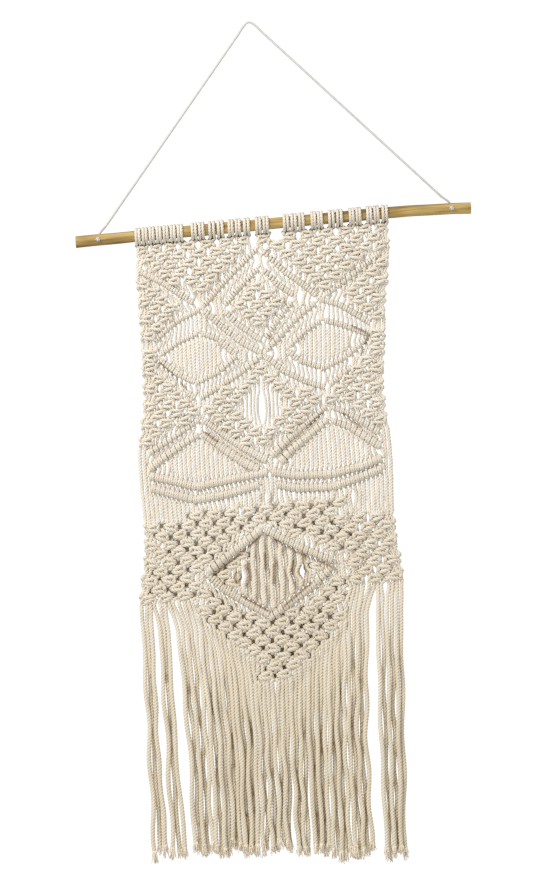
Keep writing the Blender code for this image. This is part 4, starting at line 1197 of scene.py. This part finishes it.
def spun_fibres():
    """Colour and normal of a cord of plies spun from loose fibres, with painted shade in its grooves and
    between the ropes, and darker and browner lower down.
    """
    tree, given, result = new_group("spun_fibres", ("Light", "Shade", "Crevice Shade"))
    uv = wired(tree, "ShaderNodeUVMap", output="UV", uv_map="along_rope")
    here = wired(tree, "ShaderNodeTexCoord", output="Object")
    tone, groove, crevice_shade = (wired(tree, "ShaderNodeAttribute", output="Fac", attribute_name=name)
                             for name in ("tone", "groove", "crevice_shade"))
    fibre = noise(tree, stretched(tree, uv, FIBRE_STRETCH, FIBRE_LEAN), 1.0, FIBRE_DETAIL)
    patch, speck = (noise(tree, here, scale, PATCH_DETAIL) for scale in (PATCH_SCALE, SPECK_SCALE))
    worn = ranged(tree, added(tree, patch, tone, WORN_SHARES), *WORN_RANGE)
    shade = added(tree, ranged(tree, fibre, *FIBRE_RANGE), worn, SHADE_SHARES)
    colour = mixed(tree, shade, given["Light"], given["Shade"])
    # painted shade: the grooves between the plies and the crevices between the ropes are mixed towards the
    # crevice shade colour
    painted_groove_shade = times(tree, ranged(tree, groove, *GROOVE_RANGE), GROOVE_SHADE)
    deep = ranged(tree, crevice_shade, *CREVICE_RANGE, 0.0, CREVICE_SHADE)
    for share in (painted_groove_shade, deep):
        colour = mixed(tree, share, colour, given["Crevice Shade"])
    # lower down the cotton is painted darker and browner: partly a browner cotton, partly painted shade
    height = wired(tree, "ShaderNodeSeparateXYZ", {0: here}, "Z")
    colour = mixed(tree, ranged(tree, height, *LOW_RANGE), colour, LOW_TINT_AND_SHADE, "MULTIPLY")
    give(tree, result, colour, added(tree, fibre, speck, (1.0, SPECK_HEIGHT)), FIBRE_BUMP)
    return tree


def long_grain():
    """Colour and normal of a debarked stick."""
    tree, _, result = new_group("long_grain")
    here = wired(tree, "ShaderNodeTexCoord", output="Object")
    level = stretched(tree, here, (1.0, 1.0, 1.0), (0.0, ROD_TILT, 0.0))
    broad, fine, blotch = (noise(tree, stretched(tree, level, stretch), 1.0, detail)
                           for stretch, detail in GRAINS)
    mix = added(tree, broad, fine, GRAIN_SHARES)
    grain = wired(tree, "ShaderNodeValToRGB", {"Fac": mix}, "Color")
    stops = grain.node.color_ramp.elements
    dark, middle, light = WOOD_COLOURS
    stops[0].position, stops[0].color = GRAIN_STOPS[0], dark
    stops[1].position, stops[1].color = GRAIN_STOPS[1], light
    stops.new(GRAIN_STOPS[2]).color = middle
    colour = mixed(tree, ranged(tree, blotch, *BLOTCH_RANGE, 0.0, BLOTCH_SHADE), grain, dark)
    give(tree, result, colour, mix, GRAIN_BUMP)
    return tree


def new_material(name, surface, group=None, colours=()):
    """A Principled material with its surface's values, and with a look group's colour and normal."""
    made = bpy.data.materials.new(name)
    made.use_nodes = True
    tree = made.node_tree
    if group:
        look = wired(tree, "ShaderNodeGroup", node_tree=group).node
        for socket, colour in zip(look.inputs, colours):
            socket.default_value = (*colour, 1.0)
        surface = surface | {"Base Color": look.outputs["Color"], "Normal": look.outputs["Normal"]}
    for label, value in surface.items():
        feed(tree.nodes["Principled BSDF"].inputs[label], value)
    return made


# ---- camera, light and floor
def set_camera():
    """A long lens straight in front, rolled a little."""
    data = bpy.data.cameras.new("front_camera")
    data.sensor_width = SENSOR
    data.lens = SENSOR * VIEW_DISTANCE / VIEW_HEIGHT
    data.clip_end = VIEW_REACH
    camera = bpy.data.objects.new("front_camera", data)
    bpy.context.scene.collection.objects.link(camera)
    right = Vector((math.cos(IMAGE_ROLL), 0.0, -math.sin(IMAGE_ROLL)))
    up = Vector((math.sin(IMAGE_ROLL), 0.0, math.cos(IMAGE_ROLL)))
    turned = Matrix((right, up, right.cross(up))).transposed().to_4x4()
    stand = Vector((VIEW_CENTRE[0], -VIEW_DISTANCE, VIEW_CENTRE[1])) * MM
    camera.matrix_world = Matrix.Translation(stand) @ turned
    bpy.context.scene.camera = camera


def set_light():
    """A white surround, seen brighter than it shines, and one soft light from the upper left."""
    scene = bpy.context.scene
    scene.view_settings.view_transform = "Standard"
    scene.cycles.filter_width = PIXEL_FILTER
    scene.cycles.use_denoising = False  # it would wipe out the twist of the cords
    world = bpy.data.worlds.new("studio")
    world.use_nodes = True
    tree = world.node_tree
    back = tree.nodes["Background"].inputs
    back["Color"].default_value = (1.0, 1.0, 1.0, 1.0)
    seen = wired(tree, "ShaderNodeLightPath", output="Is Camera Ray")
    feed(back["Strength"], ranged(tree, seen, 0.0, 1.0, WORLD_GIVEN, WORLD_SEEN))
    scene.world = world
    data = bpy.data.lights.new("key", "AREA")
    data.shape = "SQUARE"
    data.size = KEY_SIZE
    data.energy = KEY_POWER
    key = bpy.data.objects.new("key", data)
    scene.collection.objects.link(key)
    key.location = KEY_PLACE
    key.rotation_euler = (KEY_AIM - KEY_PLACE).to_track_quat("-Z", "Y").to_euler()


def set_floor():
    """A wide pale floor, well below the hanging."""
    bpy.ops.object.select_all(action="DESELECT")
    bpy.ops.mesh.primitive_plane_add(size=FLOOR_SIZE, location=(0.0, 0.0, FLOOR_DROP))
    floor = bpy.context.object
    floor.name = "pale_floor"
    floor.data.materials.append(new_material("pale_floor", {"Roughness": 0.9, "Base Color": FLOOR_COLOUR}))


def main():
    """Builds the looks around the solids."""
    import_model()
    set_camera()

    fibres = spun_fibres()
    cotton = new_material("cotton_rope", CORD_SURFACE, fibres, COTTON_COLOURS)
    thin = new_material("thin_cord", CORD_SURFACE, fibres, THIN_COLOURS)

    route = cord_route()
    cord = build_cord("twisted_hanging_cord", np.array(route) / MM, CORD_DIAMETER / 2, CORD_MESH_STEP, thin,
                      lambda rows: rows * MM)
    knots = [build_cord(f"wound_knot_{side}", wound_knot(u), KNOT_CORD_RADIUS, KNOT_MESH_STEP, thin)
             for side, u in zip(("left", "right"), CORD_HOLES)]
    for piece, node in zip((cord, *knots), ("hanging_cord", "stopper_knot_left", "stopper_knot_right")):
        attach(piece, "root")
        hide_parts(node)

    rod = build_rod(new_material("wood", {"Roughness": 0.6}, long_grain()))
    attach(rod, "root")
    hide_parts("rod")

    pieces, ends = build_ropes(knot_everything(), cotton)
    fluff = new_material("cotton_fluff", {"Roughness": 1.0, "Base Color": COTTON_FLUFF})
    pieces.append(build_frayed_ends(ends, fluff))
    for piece in pieces:
        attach(piece, "root")
        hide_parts("knotted_panel", "fringe")

    set_light()
    set_floor()


main()
